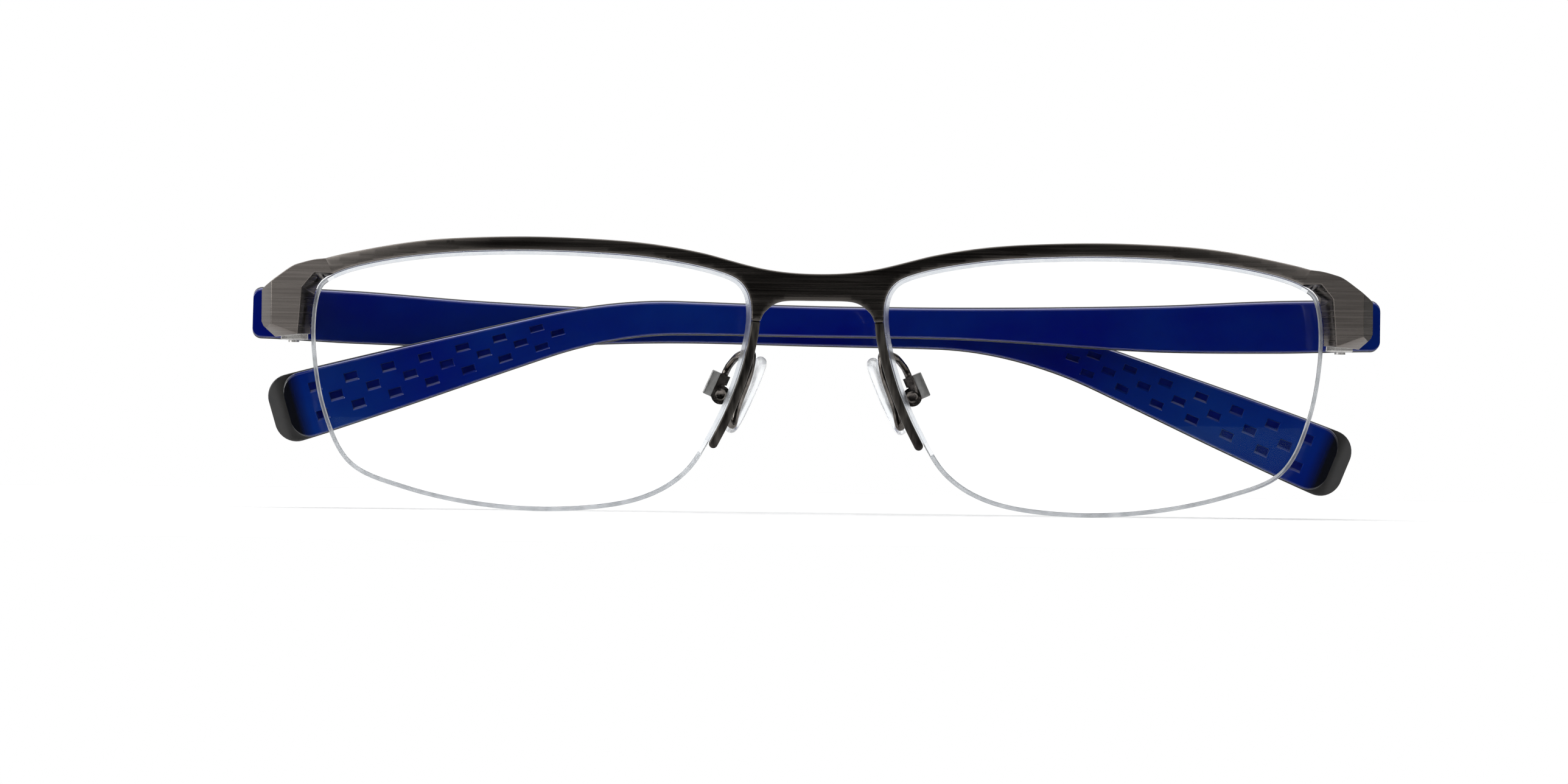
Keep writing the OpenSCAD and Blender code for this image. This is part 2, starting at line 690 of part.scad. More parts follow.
// The wire leaves the back of the leg, loops down, climbs beside the leg and comes down on the box
arm_leg = rim(at_leg_end + 2, seat + leg_w / 2);
arm_y = dome_y(arm_leg[0], arm_leg[1], leg_rear_r) + 2 * seat;
arm_side = seat + leg_w + 0.1;
function beside_leg(i, back) = let (q = rim(i, arm_side)) [q[0], arm_y + back, q[1]];
// A point of the wire over the roof of the box
arm_on_box = 0.6;
function over_box(h) = [
  pad_axis_x + arm_on_box * cos(pad_slope) - (block_up + h) * sin(pad_slope), pad_axis_y,
  pad_axis_z + arm_on_box * sin(pad_slope) + (block_up + h) * cos(pad_slope)
];
arm_route = [
  [arm_leg[0], arm_y, arm_leg[1]],
  [arm_leg[0] - 0.05, arm_y + 0.6, arm_leg[1] - 0.1],
  [arm_leg[0] - 0.75, arm_y + 1.35, arm_leg[1] - 0.9],
  beside_leg(at_leg_end + 3, 1.6),
  beside_leg(at_leg_end + 5, 1.6),
  beside_leg(at_leg_end + 6, 1.8) + [0.1, 0, 0.3],
  beside_leg(at_leg_end + 7, 2.3) + [0.7, 0, -0.5],
  [pad_axis_x - 2.25, arm_y + 3.1, pad_axis_z + 4.95],
  over_box(1.3) + [-0.15, -0.6, 0.1],
  over_box(0.6),
  over_box(2 * seat)
];
module pad_arm(k) {
  color("#6f6b67") place(k)
    tube(open_curve(arm_route, 4), arm_d / 2, [0.6, -0.8, 0]);
}
module right_pad_arm() pad_arm(RIGHT);
module left_pad_arm() pad_arm(LEFT);

brow_bar();
right_nasal_leg();
left_nasal_leg();
right_end_piece();
left_end_piece();
right_lens();
left_lens();
right_rim_liner();
left_rim_liner();
right_nylon_cord();
left_nylon_cord();
right_front_hinge();
left_front_hinge();
hinge_screws();
right_pad_arm();
left_pad_arm();
right_pad_box();
left_pad_box();
pad_screws();
right_temple_outer();
right_temple_inner();
right_temple_hinge();
left_temple_outer();
left_temple_inner();
left_temple_hinge();
right_nose_pad();
right_pad_insert();
left_nose_pad();
left_pad_insert();
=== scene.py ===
import math

import bmesh
import bpy
import numpy as np
from mathutils import Matrix, Vector
from mathutils.geometry import delaunay_2d_cdt


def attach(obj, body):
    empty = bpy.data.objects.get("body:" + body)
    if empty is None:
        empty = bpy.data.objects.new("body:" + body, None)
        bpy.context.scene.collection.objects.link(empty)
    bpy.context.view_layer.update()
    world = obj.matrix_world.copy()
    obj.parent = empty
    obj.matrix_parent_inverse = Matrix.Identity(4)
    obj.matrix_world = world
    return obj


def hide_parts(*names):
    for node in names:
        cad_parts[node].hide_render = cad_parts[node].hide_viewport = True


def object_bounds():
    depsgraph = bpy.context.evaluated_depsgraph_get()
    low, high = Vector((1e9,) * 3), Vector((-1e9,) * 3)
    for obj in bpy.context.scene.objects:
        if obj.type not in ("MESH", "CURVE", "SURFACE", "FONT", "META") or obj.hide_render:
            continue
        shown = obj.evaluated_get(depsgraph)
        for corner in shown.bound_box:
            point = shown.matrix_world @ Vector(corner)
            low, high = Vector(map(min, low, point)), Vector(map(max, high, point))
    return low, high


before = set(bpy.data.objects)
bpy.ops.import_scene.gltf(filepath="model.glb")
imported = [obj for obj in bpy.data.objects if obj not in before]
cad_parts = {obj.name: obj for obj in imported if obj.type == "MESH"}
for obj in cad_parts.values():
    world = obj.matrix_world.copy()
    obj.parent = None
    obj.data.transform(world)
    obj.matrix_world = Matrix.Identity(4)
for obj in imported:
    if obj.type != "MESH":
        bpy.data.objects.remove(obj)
cad_lo, cad_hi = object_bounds()

# Sizes in millimetres, the same as those of the solids
MM = 0.001
LEFT, RIGHT = 1, -1
SIDE = {LEFT: "left", RIGHT: "right"}
SEAT, BOND, SET_BACK = 0.05, 0.02, 13.25
LENS_W, LENS_H, BRIDGE_GAP, LENS_T = 55.0, 32.5, 16.6, 2.0
DOME_R, GROOVE_D, GROOVE_ROOM, CORD_D = 240.0, 0.6, 0.06, 0.56
BROW_H, BROW_GROW, BROW_DEPTH = 1.7, 0.55, 2.6
BRIDGE_DROP, BRIDGE_H = 2.55, 3.35
LEG_W, LEG_DEPTH = 1.1, 2.3
LENS_BACK, LEG_BACK = 0.3, 0.15
HINGE_DROP, BARREL_D = 8.25, 2.8
TEMPLE_LEN, BUTT_LEN = 136.0, 5.2
OUTER_T, INNER_T, EDGE_SHOW, TIP_SHOW = 1.3, 1.8, 0.15, 2.0
BUTT_ROUND, TIP_BEVEL_L, TIP_BEVEL_T = 1.1, 1.4, 0.5
EAR_AT, EAR_R, TIP_IN = 92.0, 60.0, 2.6
EAR_BEND = {LEFT: 16.5, RIGHT: 21.0}
LIE = {LEFT: 0.0, RIGHT: 1.0}
PAST_FLAT = {LEFT: 2.0, RIGHT: -1.8}
GRIP_COUNT, GRIP_PITCH, GRIP_DEPTH, GRIP_END = 7, 4.8, 0.35, 6.2
GRIP_W, GRIP_H, GRIP_ROW_GAP = 1.7, 1.15, 1.85
PAD_L, PAD_W, PAD_T, PAD_SLOPE, PAD_SPLAY, ARM_D = 10.4, 6.4, 1.5, 24.0, 8.0, 0.9

LENS_X = BRIDGE_GAP / 2 + LENS_W / 2
LENS_Z = LENS_H / 2
HINGE_Z = LENS_H - HINGE_DROP
BRIDGE_TOP = LENS_H - BRIDGE_DROP
BRIDGE_UNDER = BRIDGE_TOP - BRIDGE_H
TEMPORAL_X = BRIDGE_GAP / 2 + LENS_W
GROOVE_W = CORD_D + 2 * GROOVE_ROOM
LENS_FRONT_R = DOME_R - LENS_BACK
LENS_BACK_R = LENS_FRONT_R - LENS_T
LENS_MID_R = (LENS_FRONT_R + LENS_BACK_R) / 2
LENS_FORM = [
    (-27.5, 7.75), (-26.7, 11.95), (-23.2, 13.95), (-15.1, 15.5), (-6, 16.15),
    (3.1, 16.25), (12.2, 15.75), (19.8, 14.6), (24.9, 13), (27.05, 10.65),
    (27.5, 4.25), (26.1, -3.95), (22.7, -10.65), (15.7, -13.75), (6.2, -15.75),
    (-3.8, -16.25), (-13.3, -15), (-19.5, -11.6), (-23.3, -5.75), (-26.1, 1.05),
]
# Steps of the solids between two points of the lens outline, and places along it counted in them
STEPS = 4
AT_BRIDGE, AT_GROW, AT_BROW_END, AT_CORD_END, AT_LEG_END = 9, 20, 32, 33, 71
# Steps along the lens outline here for each step of the solids, and how far metal edges are broken
FINE = 4
EDGE_BREAK = 0.2
# Where the top of the brow bar starts to run straight into the end piece, and by how much it drops
AT_EASE, EASE = 23, 0.22
# How far before its end the blue layer starts to darken, and where it is black
FADE_FROM, FADE_TO = 2.6, 0.9
# Where, from the middle, the brow bar starts to grow lighter towards the end pieces' tone, and where it has
# it: a painted reflection of the side light
LIT_ENDS_FROM, LIT_ENDS_TO = 40.0, 60.5
# Points nearer than these are one point, on the drawing in millimetres and on a mesh in metres
SAME, SAME_ON_MESH = 1e-6, 1e-7
# Shading is soft up to this angle, and large faces weigh this much in it
SOFT_ANGLE, FACE_WEIGHT = 40, 80


def smooth(a, b, c, d, t):
    """A point between b and c on the curve through a, b, c and d."""
    square = (2 * a - 5 * b + 4 * c - d) * t * t
    cube = (3 * b - a - 3 * c + d) * t ** 3
    return 0.5 * (2 * b + (c - a) * t + square + cube)


def closed_curve(points, n):
    p = [np.array(q, float) for q in points]
    m = len(p)
    run = []
    for i in range(m):
        four = (p[i - 1], p[i], p[(i + 1) % m], p[(i + 2) % m])
        run += [smooth(*four, k / n) for k in range(n)]
    return run


def open_curve(points, n):
    p = [np.array(q, float) for q in points]
    full = [2 * p[0] - p[1]] + p + [2 * p[-1] - p[-2]]
    run = []
    for i in range(len(p) - 1):
        run += [smooth(*full[i:i + 4], k / n) for k in range(n)]
    return run + [p[-1]]


CURVE = closed_curve([(LENS_X + x, LENS_Z + z) for x, z in LENS_FORM], STEPS * FINE)
CURVE_N = len(CURVE)


def curve_dir(i):
    d = CURVE[(i + FINE) % CURVE_N] - CURVE[(i - FINE) % CURVE_N]
    return d / np.linalg.norm(d)


def rim(i, off):
    """A point of the lens outline, at a fine step, moved out of the lens by off."""
    d = curve_dir(i % CURVE_N)
    return CURVE[i % CURVE_N] + off * np.array((-d[1], d[0]))


def rim_run(first, last, off):
    step = 1 if first <= last else -1
    return [rim(i, off) for i in range(first, last + step, step)]


def dome_y(x, z, r=DOME_R):
    return DOME_R - math.sqrt(r * r - x * x - (z - LENS_Z) ** 2)


def put(points, k):
    """Points of the drawing on one side, in the row frame and in metres."""
    return [(k * x * MM, (y - SET_BACK) * MM, z * MM) for x, y, z in points]


def finish_mesh(bm, name, smooth_angle=SOFT_ANGLE, clean=False):
    """A mesh object from bm, faces outward and shading soft up to an angle. clean drops empty faces."""
    if clean:
        bmesh.ops.remove_doubles(bm, verts=bm.verts[:], dist=SAME_ON_MESH)
        bmesh.ops.dissolve_degenerate(bm, edges=bm.edges[:], dist=SAME_ON_MESH)
    bmesh.ops.recalc_face_normals(bm, faces=bm.faces[:])
    mesh = bpy.data.meshes.new(name)
    bm.to_mesh(mesh)
    bm.free()
    mesh.shade_smooth()
    mesh.set_sharp_from_angle(angle=math.radians(smooth_angle))
    obj = bpy.data.objects.new(name, mesh)
    bpy.context.scene.collection.objects.link(obj)
    return obj


def mesh_of(points, faces, name, smooth_angle=SOFT_ANGLE, clean=False):
    bm = bmesh.new()
    verts = [bm.verts.new(p) for p in points]
    for f in faces:
        bm.faces.new([verts[i] for i in f])
    return finish_mesh(bm, name, smooth_angle, clean)


def ring_faces(rings, n):
    """Quads between rings that follow one another, each of n points."""
    faces = []
    for j in range(rings - 1):
        for i in range(n):
            m = (i + 1) % n
            faces.append((j * n + i, j * n + m, (j + 1) * n + m, (j + 1) * n + i))
    return faces


def end_faces(rings, n):
    """The faces that close the first and the last ring."""
    return [tuple(range(n)), tuple((rings - 1) * n + i for i in range(n))]


def weigh_normals(obj):
    mod = obj.modifiers.new("even shading", "WEIGHTED_NORMAL")
    mod.keep_sharp = True
    mod.weight = FACE_WEIGHT


def dress(obj, materials, body, slot, *nodes):
    """Gives a new piece its materials and its body, and hides the solid that it stands for. slot is not
    used.
    """
    for m in materials:
        obj.data.materials.append(m)
    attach(obj, body)
    if nodes:
        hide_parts(*nodes)
    return obj


# Materials, with depths in metres and the scale of grain in waves per metre

GRAIN_DEPTH, FAINT_DEPTH = 0.000008, 0.000003


def new_material(name, base, roughness, metallic=0.0, **constants):
    """A principled material with its constants on the shader's own sockets."""
    mat = bpy.data.materials.new(name)
    mat.use_nodes = True
    shader = mat.node_tree.nodes["Principled BSDF"]
    shader.inputs["Base Color"].default_value = (*base, 1)
    shader.inputs["Roughness"].default_value = roughness
    shader.inputs["Metallic"].default_value = metallic
    for key, value in constants.items():
        shader.inputs[key.replace("_", " ")].default_value = value
    return mat, mat.node_tree, shader


def grain(nt, scale, detail=4.0, rough=0.55, turn=(0, 0, 0)):
    """Noise in the object's own space, stretched by a scale for each axis."""
    place = nt.nodes.new("ShaderNodeTexCoord")
    stretch = nt.nodes.new("ShaderNodeMapping")
    stretch.inputs["Scale"].default_value = scale
    stretch.inputs["Rotation"].default_value = turn
    noise = nt.nodes.new("ShaderNodeTexNoise")
    noise.inputs["Scale"].default_value = 1.0
    noise.inputs["Detail"].default_value = detail
    noise.inputs["Roughness"].default_value = rough
    nt.links.new(place.outputs["Object"], stretch.inputs["Vector"])
    nt.links.new(stretch.outputs["Vector"], noise.inputs["Vector"])
    return noise.outputs["Fac"]


def ramp(nt, value, stops):
    node = nt.nodes.new("ShaderNodeValToRGB")
    elements = node.color_ramp.elements
    while len(elements) < len(stops):
        elements.new(0.5)
    for element, (at, colour) in zip(elements, stops):
        element.position = at
        element.color = (*colour, 1)
    nt.links.new(value, node.inputs["Fac"])
    return node.outputs["Color"]


def span(nt, value, low, high, start=0.25, end=0.75):
    node = nt.nodes.new("ShaderNodeMapRange")
    node.inputs["From Min"].default_value = start
    node.inputs["From Max"].default_value = end
    node.inputs["To Min"].default_value = low
    node.inputs["To Max"].default_value = high
    nt.links.new(value, node.inputs["Value"])
    return node.outputs["Result"]


def maths(nt, operation, *values):
    """The result of a Math node. Each value is a number or a socket to link."""
    node = nt.nodes.new("ShaderNodeMath")
    node.operation = operation
    for socket, value in zip(node.inputs, values):
        if isinstance(value, float):
            socket.default_value = value
        else:
            nt.links.new(value, socket)
    return node.outputs[0]


def bump(nt, shader, height, distance):
    node = nt.nodes.new("ShaderNodeBump")
    node.inputs["Strength"].default_value = 1.0
    node.inputs["Distance"].default_value = distance
    nt.links.new(height, node.inputs["Height"])
    nt.links.new(node.outputs["Normal"], shader.inputs["Normal"])


def brushed(name, dark, light, rough, along=(70, 70, 5200), depth=GRAIN_DEPTH, ends=None):
    """Brushed metal with fine streaks and worn patches. ends gives lighter tones at the far ends, if others:
    a painted reflection.
    """
    mat, nt, shader = new_material(name, dark, rough[0], 1.0)
    streak = grain(nt, along, 2.0, 0.6)
    patch = grain(nt, (90, 90, 160), 2.0, 0.5)
    mixed = maths(nt, "MULTIPLY_ADD", patch, 0.3, maths(nt, "MULTIPLY", streak, 0.7))
    tone = mixed
    stops = [(0.36, dark), (0.66, light)]
    # The far ends grow lighter towards the end pieces' tone: a painted reflection of the side light
    if ends:
        outer = span(nt, from_middle(nt), 0.0, 0.5, LIT_ENDS_FROM * MM, LIT_ENDS_TO * MM)
        tone = maths(nt, "MULTIPLY_ADD", mixed, 0.5, outer)
        stops = [(0.18, dark), (0.33, light), (0.70, ends[0]), (0.85, ends[1])]
    nt.links.new(ramp(nt, tone, stops), shader.inputs["Base Color"])
    nt.links.new(span(nt, mixed, rough[0], rough[1], 0.35, 0.65), shader.inputs["Roughness"])
    bump(nt, shader, streak, depth)
    return mat


def from_middle(nt):
    """Distance from the middle of the glasses, across, in the object's own space."""
    place = nt.nodes.new("ShaderNodeTexCoord")
    split = nt.nodes.new("ShaderNodeSeparateXYZ")
    nt.links.new(place.outputs["Object"], split.inputs["Vector"])
    return maths(nt, "ABSOLUTE", split.outputs["X"])


def cast_metal(name, dark, light, rough, metallic=1.0):
    """Plain plated metal with a faint mottle."""
    mat, nt, shader = new_material(name, dark, rough[0], metallic)
    mottle = grain(nt, (900, 900, 900), 4.0, 0.6)
    nt.links.new(ramp(nt, mottle, [(0.35, dark), (0.68, light)]), shader.inputs["Base Color"])
    nt.links.new(span(nt, mottle, rough[0], rough[1]), shader.inputs["Roughness"])
    bump(nt, shader, mottle, GRAIN_DEPTH)
    return mat


def moulded(name, dark, light, rough, scale, depth, **constants):
    """Moulded plastic with a cloud of slightly different tone and gloss."""
    mat, nt, shader = new_material(name, dark, rough[0], 0.0, **constants)
    cloud = grain(nt, scale, 4.0, 0.5)
    nt.links.new(ramp(nt, cloud, [(0.3, dark), (0.7, light)]), shader.inputs["Base Color"])
    nt.links.new(span(nt, cloud, rough[0], rough[1]), shader.inputs["Roughness"])
    bump(nt, shader, cloud, depth)
    return mat


END_TONES = [(0.128, 0.115, 0.106), (0.178, 0.160, 0.148)]
# The brow bar's lighter tones at its ends: a painted reflection of the side light
SEAM_REFLECTION_TONES = [(0.166, 0.150, 0.138), (0.231, 0.208, 0.192)]
TIP_TONE = (0.003, 0.0035, 0.006)
BROW = brushed("brow_brushed_lit_ends", (0.042, 0.038, 0.035), (0.094, 0.085, 0.077), (0.22, 0.30), ends=SEAM_REFLECTION_TONES)
END = brushed("end_brushed", END_TONES[0], END_TONES[1], (0.22, 0.30), depth=FAINT_DEPTH)
LEG = brushed("leg_brushed", (0.020, 0.018, 0.017), (0.085, 0.078, 0.07), (0.28, 0.4), (1600, 1600, 300))
HINGE = cast_metal("hinge_plated", (0.44, 0.43, 0.42), (0.60, 0.59, 0.57), (0.20, 0.32))
PAD_METAL = cast_metal("pad_arm_plated", (0.06, 0.055, 0.05), (0.20, 0.18, 0.165), (0.09, 0.17))
PAD_SATIN = cast_metal("pad_box_satin", (0.16, 0.16, 0.155), (0.27, 0.27, 0.265), (0.14, 0.24), 0.6)
STEEL = cast_metal("screw_steel", (0.52, 0.51, 0.50), (0.68, 0.67, 0.65), (0.16, 0.30))
# The dark specular tint stands for the lens's coat, which cuts its reflections
LENS = moulded("lens_face", (0.985, 0.99, 1.0), (1, 1, 1), (0.0, 0.004),
               (30, 30, 30), 0.0, Transmission_Weight=1.0, IOR=1.53,
               Specular_IOR_Level=0.04, Specular_Tint=(0.06, 0.11, 0.14, 1.0))
LENS_EDGE = moulded("lens_edge_polished", (0.84, 0.86, 0.88), (0.95, 0.96, 0.97), (0.10, 0.24),
                    (700, 700, 700), 0.00002, Transmission_Weight=1.0, IOR=1.53)
LINER = moulded("liner_clear", (0.88, 0.90, 0.93), (0.97, 0.98, 0.99), (0.12, 0.3),
                (500, 500, 500), 0.00003, Transmission_Weight=1.0, IOR=1.5)
NYLON = moulded("nylon_line", (0.46, 0.47, 0.48), (0.64, 0.65, 0.66), (0.1, 0.25),
                (600, 600, 600), 0.00002, Transmission_Weight=0.9, IOR=1.53)
DARK = moulded("temple_charcoal", (0.013, 0.013, 0.014), (0.021, 0.020, 0.019), (0.30, 0.40),
               (900, 900, 900), 0.00001, Specular_IOR_Level=0.5)
# The blue's cloud runs from its own tone to lighter, greener patches, which are partly its own tone and
# partly a painted sheen
BLUE = {
    k: moulded("temple_blue_acetate_painted_sheen_" + SIDE[k], (0.0002, 0.0016, 0.116), (0.0008, 0.0185, 0.152),
               (0.05, 0.12), (44, 44, 70), 0.000012, Coat_Weight=0.3, Coat_Roughness=0.04, IOR=1.47)
    for k in (LEFT, RIGHT)
}
# A darker, rougher blue for the recesses' floors: matte moulding, with painted shade in the recesses
BLUE_RECESS_SHADE = moulded("temple_blue_recess_painted_shade", (0.0002, 0.0020, 0.062), (0.0004, 0.0050, 0.105), (0.12, 0.2),
                    (400, 400, 400), 0.00001, IOR=1.47, Specular_IOR_Level=0.2)
SILICONE = moulded("pad_silicone_clear", (0.90, 0.93, 0.96), (0.99, 0.995, 1.0), (0.12, 0.3),
                   (300, 300, 300), 0.00003, Transmission_Weight=0.96, IOR=1.41)
PLATE = moulded("pad_plate_clear", (0.86, 0.9, 0.95), (0.97, 0.98, 1.0), (0.06, 0.16),
                (400, 400, 400), 0.00001, Transmission_Weight=0.95, IOR=1.5)


# Pieces cut from the dome: a front outline with rounded edges and a groove beside the lens

# Spacing of the points inside a plate's faces, and of their rows as a share of it
GRID, GRID_ROWS = 0.55, 0.866
# Points of the bridge's top line beside its middle, and the room and radius of the arcs at the foot
SADDLE_X, SADDLE_RISE = 6.4, 0.5
FOOT_ROOM, FOOT_ROUND = 0.36, 0.3
# Points nearer the middle than this are left to it, and points this near the rim have the groove
PAST_MIDDLE, ON_RIM = 0.01, 0.02
# How much of a side the arc at a corner may take, by itself and with an arc at the side's other end
ARC_ALONE, ARC_SHARED = 0.9, 0.45
CORD_ROOM = 0.03


def outward(outline):
    """Normals that point out of a closed outline."""
    p = np.array(outline)
    d = np.roll(p, -1, 0) - np.roll(p, 1, 0)
    d /= np.linalg.norm(d, axis=1)[:, None]
    n = np.stack((d[:, 1], -d[:, 0]), 1)
    area = np.sum(p[:, 0] * np.roll(p[:, 1], -1) - np.roll(p[:, 0], -1) * p[:, 1])
    return n if area > 0 else -n


def soften(outline, radius, least=35, steps=4, keep=()):
    """The outline with its sharp corners cut to short arcs, apart from those to keep."""
    p = [np.array(q, float) for q in outline]
    n = len(p)
    sharp = []
    for i, q in enumerate(p):
        a, b = p[i - 1] - q, p[(i + 1) % n] - q
        cosine = -np.dot(a, b) / np.linalg.norm(a) / np.linalg.norm(b)
        kept = any(from_corner(q, c) < SAME for c in keep)
        sharp.append(math.degrees(math.acos(max(-1, min(1, cosine)))) >= least and not kept)
    out = []
    for i, q in enumerate(p):
        if not sharp[i]:
            out.append(q)
            continue
        ends = []
        for near in (i - 1, (i + 1) % n):
            step = p[near] - q
            length = np.linalg.norm(step)
            share = ARC_SHARED if sharp[near] else ARC_ALONE
            ends.append(q + step / length * min(radius, length * share))
        for s in range(steps + 1):
            t = s / steps
            out.append((1 - t) ** 2 * ends[0] + 2 * t * (1 - t) * q + t * t * ends[1])
    return out


def plate_levels(edge, r_front, r_back, steps=3):
    """Inset and dome radius at each level of a plate's side, with the groove's levels marked."""
    levels = []
    for s in range(steps + 1):
        a = math.pi / 2 * s / steps
        levels.append((edge * (1 - math.sin(a)), r_front - edge * (1 - math.cos(a)), False))
    for off, deep in ((1, False), (1, True), (-1, True), (-1, False)):
        levels.append((0.0, LENS_MID_R + off * GROOVE_W / 2, deep))
    for s in range(steps, -1, -1):
        a = math.pi / 2 * s / steps
        levels.append((edge * (1 - math.sin(a)), r_back + edge * (1 - math.cos(a)), False))
    return levels


def inner_points(outline, step):
    """Points of an even grid that lie inside an outline and clear of it."""
    p = np.array(outline)
    q = np.roll(p, -1, 0)
    out = []
    for row, z in enumerate(np.arange(p[:, 1].min(), p[:, 1].max(), step * GRID_ROWS)):
        cross = (p[:, 1] > z) != (q[:, 1] > z)
        hit = p[cross, 0] + (z - p[cross, 1]) * (q[cross, 0] - p[cross, 0]) / (q[cross, 1] - p[cross, 1])
        for x in np.arange(p[:, 0].min() + (row % 2) * step / 2, p[:, 0].max(), step):
            if np.sum(hit > x) % 2 and np.min(np.hypot(p[:, 0] - x, p[:, 1] - z)) > 0.5 * step:
                out.append((x, z))
    return out


def cap_faces(outline, inner):
    """Triangles that fill an outline through the points inside it, as indices into both lists."""
    n = len(outline)
    flat = [Vector(q) for q in list(outline) + list(inner)]
    edges = [(i, (i + 1) % n) for i in range(n)]
    verts, _, faces, source, _, _ = delaunay_2d_cdt(flat, edges, [], 1, SAME_ON_MESH)
    index = []
    for v, known in zip(verts, source):
        index.append(known[0] if known else min(range(n), key=lambda i: (flat[i] - v).length))
    tris = [tuple(index[i] for i in f) for f in faces]
    return [t for t in tris if len(set(t)) == 3]


def plate(name, outline, r_front, r_back, edge, grooved, k=LEFT, turned=None):
    """A plate of the dome. grooved marks the points with the groove, turned gives some another normal."""
    normals = outward(outline)
    for i, d in (turned or {}).items():
        normals[i] = d
    n = len(outline)
    points = []
    levels = plate_levels(edge, r_front, r_back)
    for inset, r, deep in levels:
        for i, q in enumerate(outline):
            cut = GROOVE_D if deep and grooved[i] else inset
            x, z = np.array(q) - cut * normals[i]
            points.append((x, dome_y(x, z, r), z))
    faces = ring_faces(len(levels), n)
    last = (len(levels) - 1) * n
    front = [(x, z) for x, _, z in points[:n]]
    inner = inner_points(front, GRID)
    more = len(points)
    points += [(x, dome_y(x, z, r_front), z) for x, z in inner]
    points += [(x, dome_y(x, z, r_back), z) for x, z in inner]
    for t in cap_faces(front, inner):
        faces.append(tuple(i if i < n else more + i - n for i in t))
        faces.append(tuple(last + i if i < n else more + len(inner) + i - n for i in reversed(t)))
    obj = mesh_of(put(points, k), faces, name, clean=True)
    weigh_normals(obj)
    return obj


def brow_at(i):
    """Height of the brow bar over the lens at a fine step. Its drop follows a hump that reaches 1."""
    t = max(0, i / FINE - AT_GROW) / (AT_BROW_END - AT_GROW)
    u = max(0, i / FINE - AT_EASE) / (AT_BROW_END - AT_EASE)
    hump = 27 / 4 * u * u * (1 - u)
    return BROW_H + BROW_GROW * t * t - EASE * hump


def from_corner(q, corner):
    """Distance from a corner of the right or the left half."""
    return math.hypot(abs(q[0]) - corner[0], q[1] - corner[1])


def corner_clear(q, corners, room):
    """True for a corner and for points that leave it room for an arc."""
    away = min(from_corner(q, c) for c in corners)
    return away < SAME or away > room


def brow_bar():
    seam_i = AT_BROW_END * FINE
    first = rim(AT_BRIDGE * FINE, BROW_H)
    beside = BRIDGE_TOP + SADDLE_RISE
    middle = open_curve([first, (SADDLE_X, beside), (0, BRIDGE_TOP), (-SADDLE_X, beside)], STEPS * FINE)
    top = [rim(i, brow_at(i)) for i in range(seam_i, AT_BRIDGE * FINE, -1)]
    top += [q for q in middle if q[0] > PAST_MIDDLE]
    ax, az = rim(0, SEAT + LEG_W)
    arch = [(ax, az), (ax - 0.7, az + 1.3), (ax - 2.7, BRIDGE_UNDER - 0.15), (0, BRIDGE_UNDER)]
    low = [q for q in reversed(open_curve(arch, STEPS * FINE)) if q[0] > PAST_MIDDLE]
    low += rim_run(0, seam_i, SEAT)
    half = [(q[0], q[1]) for q in low + top]
    other = [(-x, z) for x, z in reversed(half)]
    outline = [(0, BRIDGE_UNDER)] + half + [(0, BRIDGE_TOP)] + other
    d = curve_dir(seam_i)
    seam = [rim(seam_i, SEAT), rim(seam_i, brow_at(seam_i))]
    foot = [rim(0, SEAT), rim(0, SEAT + LEG_W)]
    outline = [q for q in outline if corner_clear(q, foot, FOOT_ROOM)]
    outline = soften(outline, FOOT_ROUND, keep=seam)
    turned = {}
    for i, q in enumerate(outline):
        for corner, way in zip(seam, (-1, 1)):
            if from_corner(q, corner) < SAME:
                turned[i] = way * np.array((-d[1] if q[0] > 0 else d[1], d[0]))
    rim_points = np.array(rim_run(0, seam_i, SEAT))
    grooved = []
    for q in outline:
        away = np.hypot(rim_points[:, 0] - abs(q[0]), rim_points[:, 1] - q[1])
        grooved.append(np.min(away) < ON_RIM)
    obj = plate("brow_bar_fine", outline, DOME_R, DOME_R - BROW_DEPTH, EDGE_BREAK, grooved, LEFT, turned)
    return dress(obj, [BROW], "front", "brow_metal", "brow_bar")


def nasal_leg(k):
    end = AT_LEG_END * FINE
    tip = rim(end, SEAT + LEG_W / 2)
    d = curve_dir(end)
    side = np.array((-d[1], d[0]))
    inner = rim_run(end, CURVE_N, SEAT)
    outer = rim_run(CURVE_N, end, SEAT + LEG_W)
    cap = []
    for a in range(15, 180, 15):
        t = math.radians(a)
        cap.append(tip + LEG_W / 2 * (math.cos(t) * side - math.sin(t) * d))
    outline = inner + outer + cap
    grooved = [i < len(inner) for i in range(len(outline))]
    front = DOME_R - LEG_BACK
    obj = plate(SIDE[k] + "_nasal_leg_fine", outline, front, front - LEG_DEPTH, EDGE_BREAK, grooved, k)
    return dress(obj, [LEG], "front", "leg_metal", SIDE[k] + "_nasal_leg")


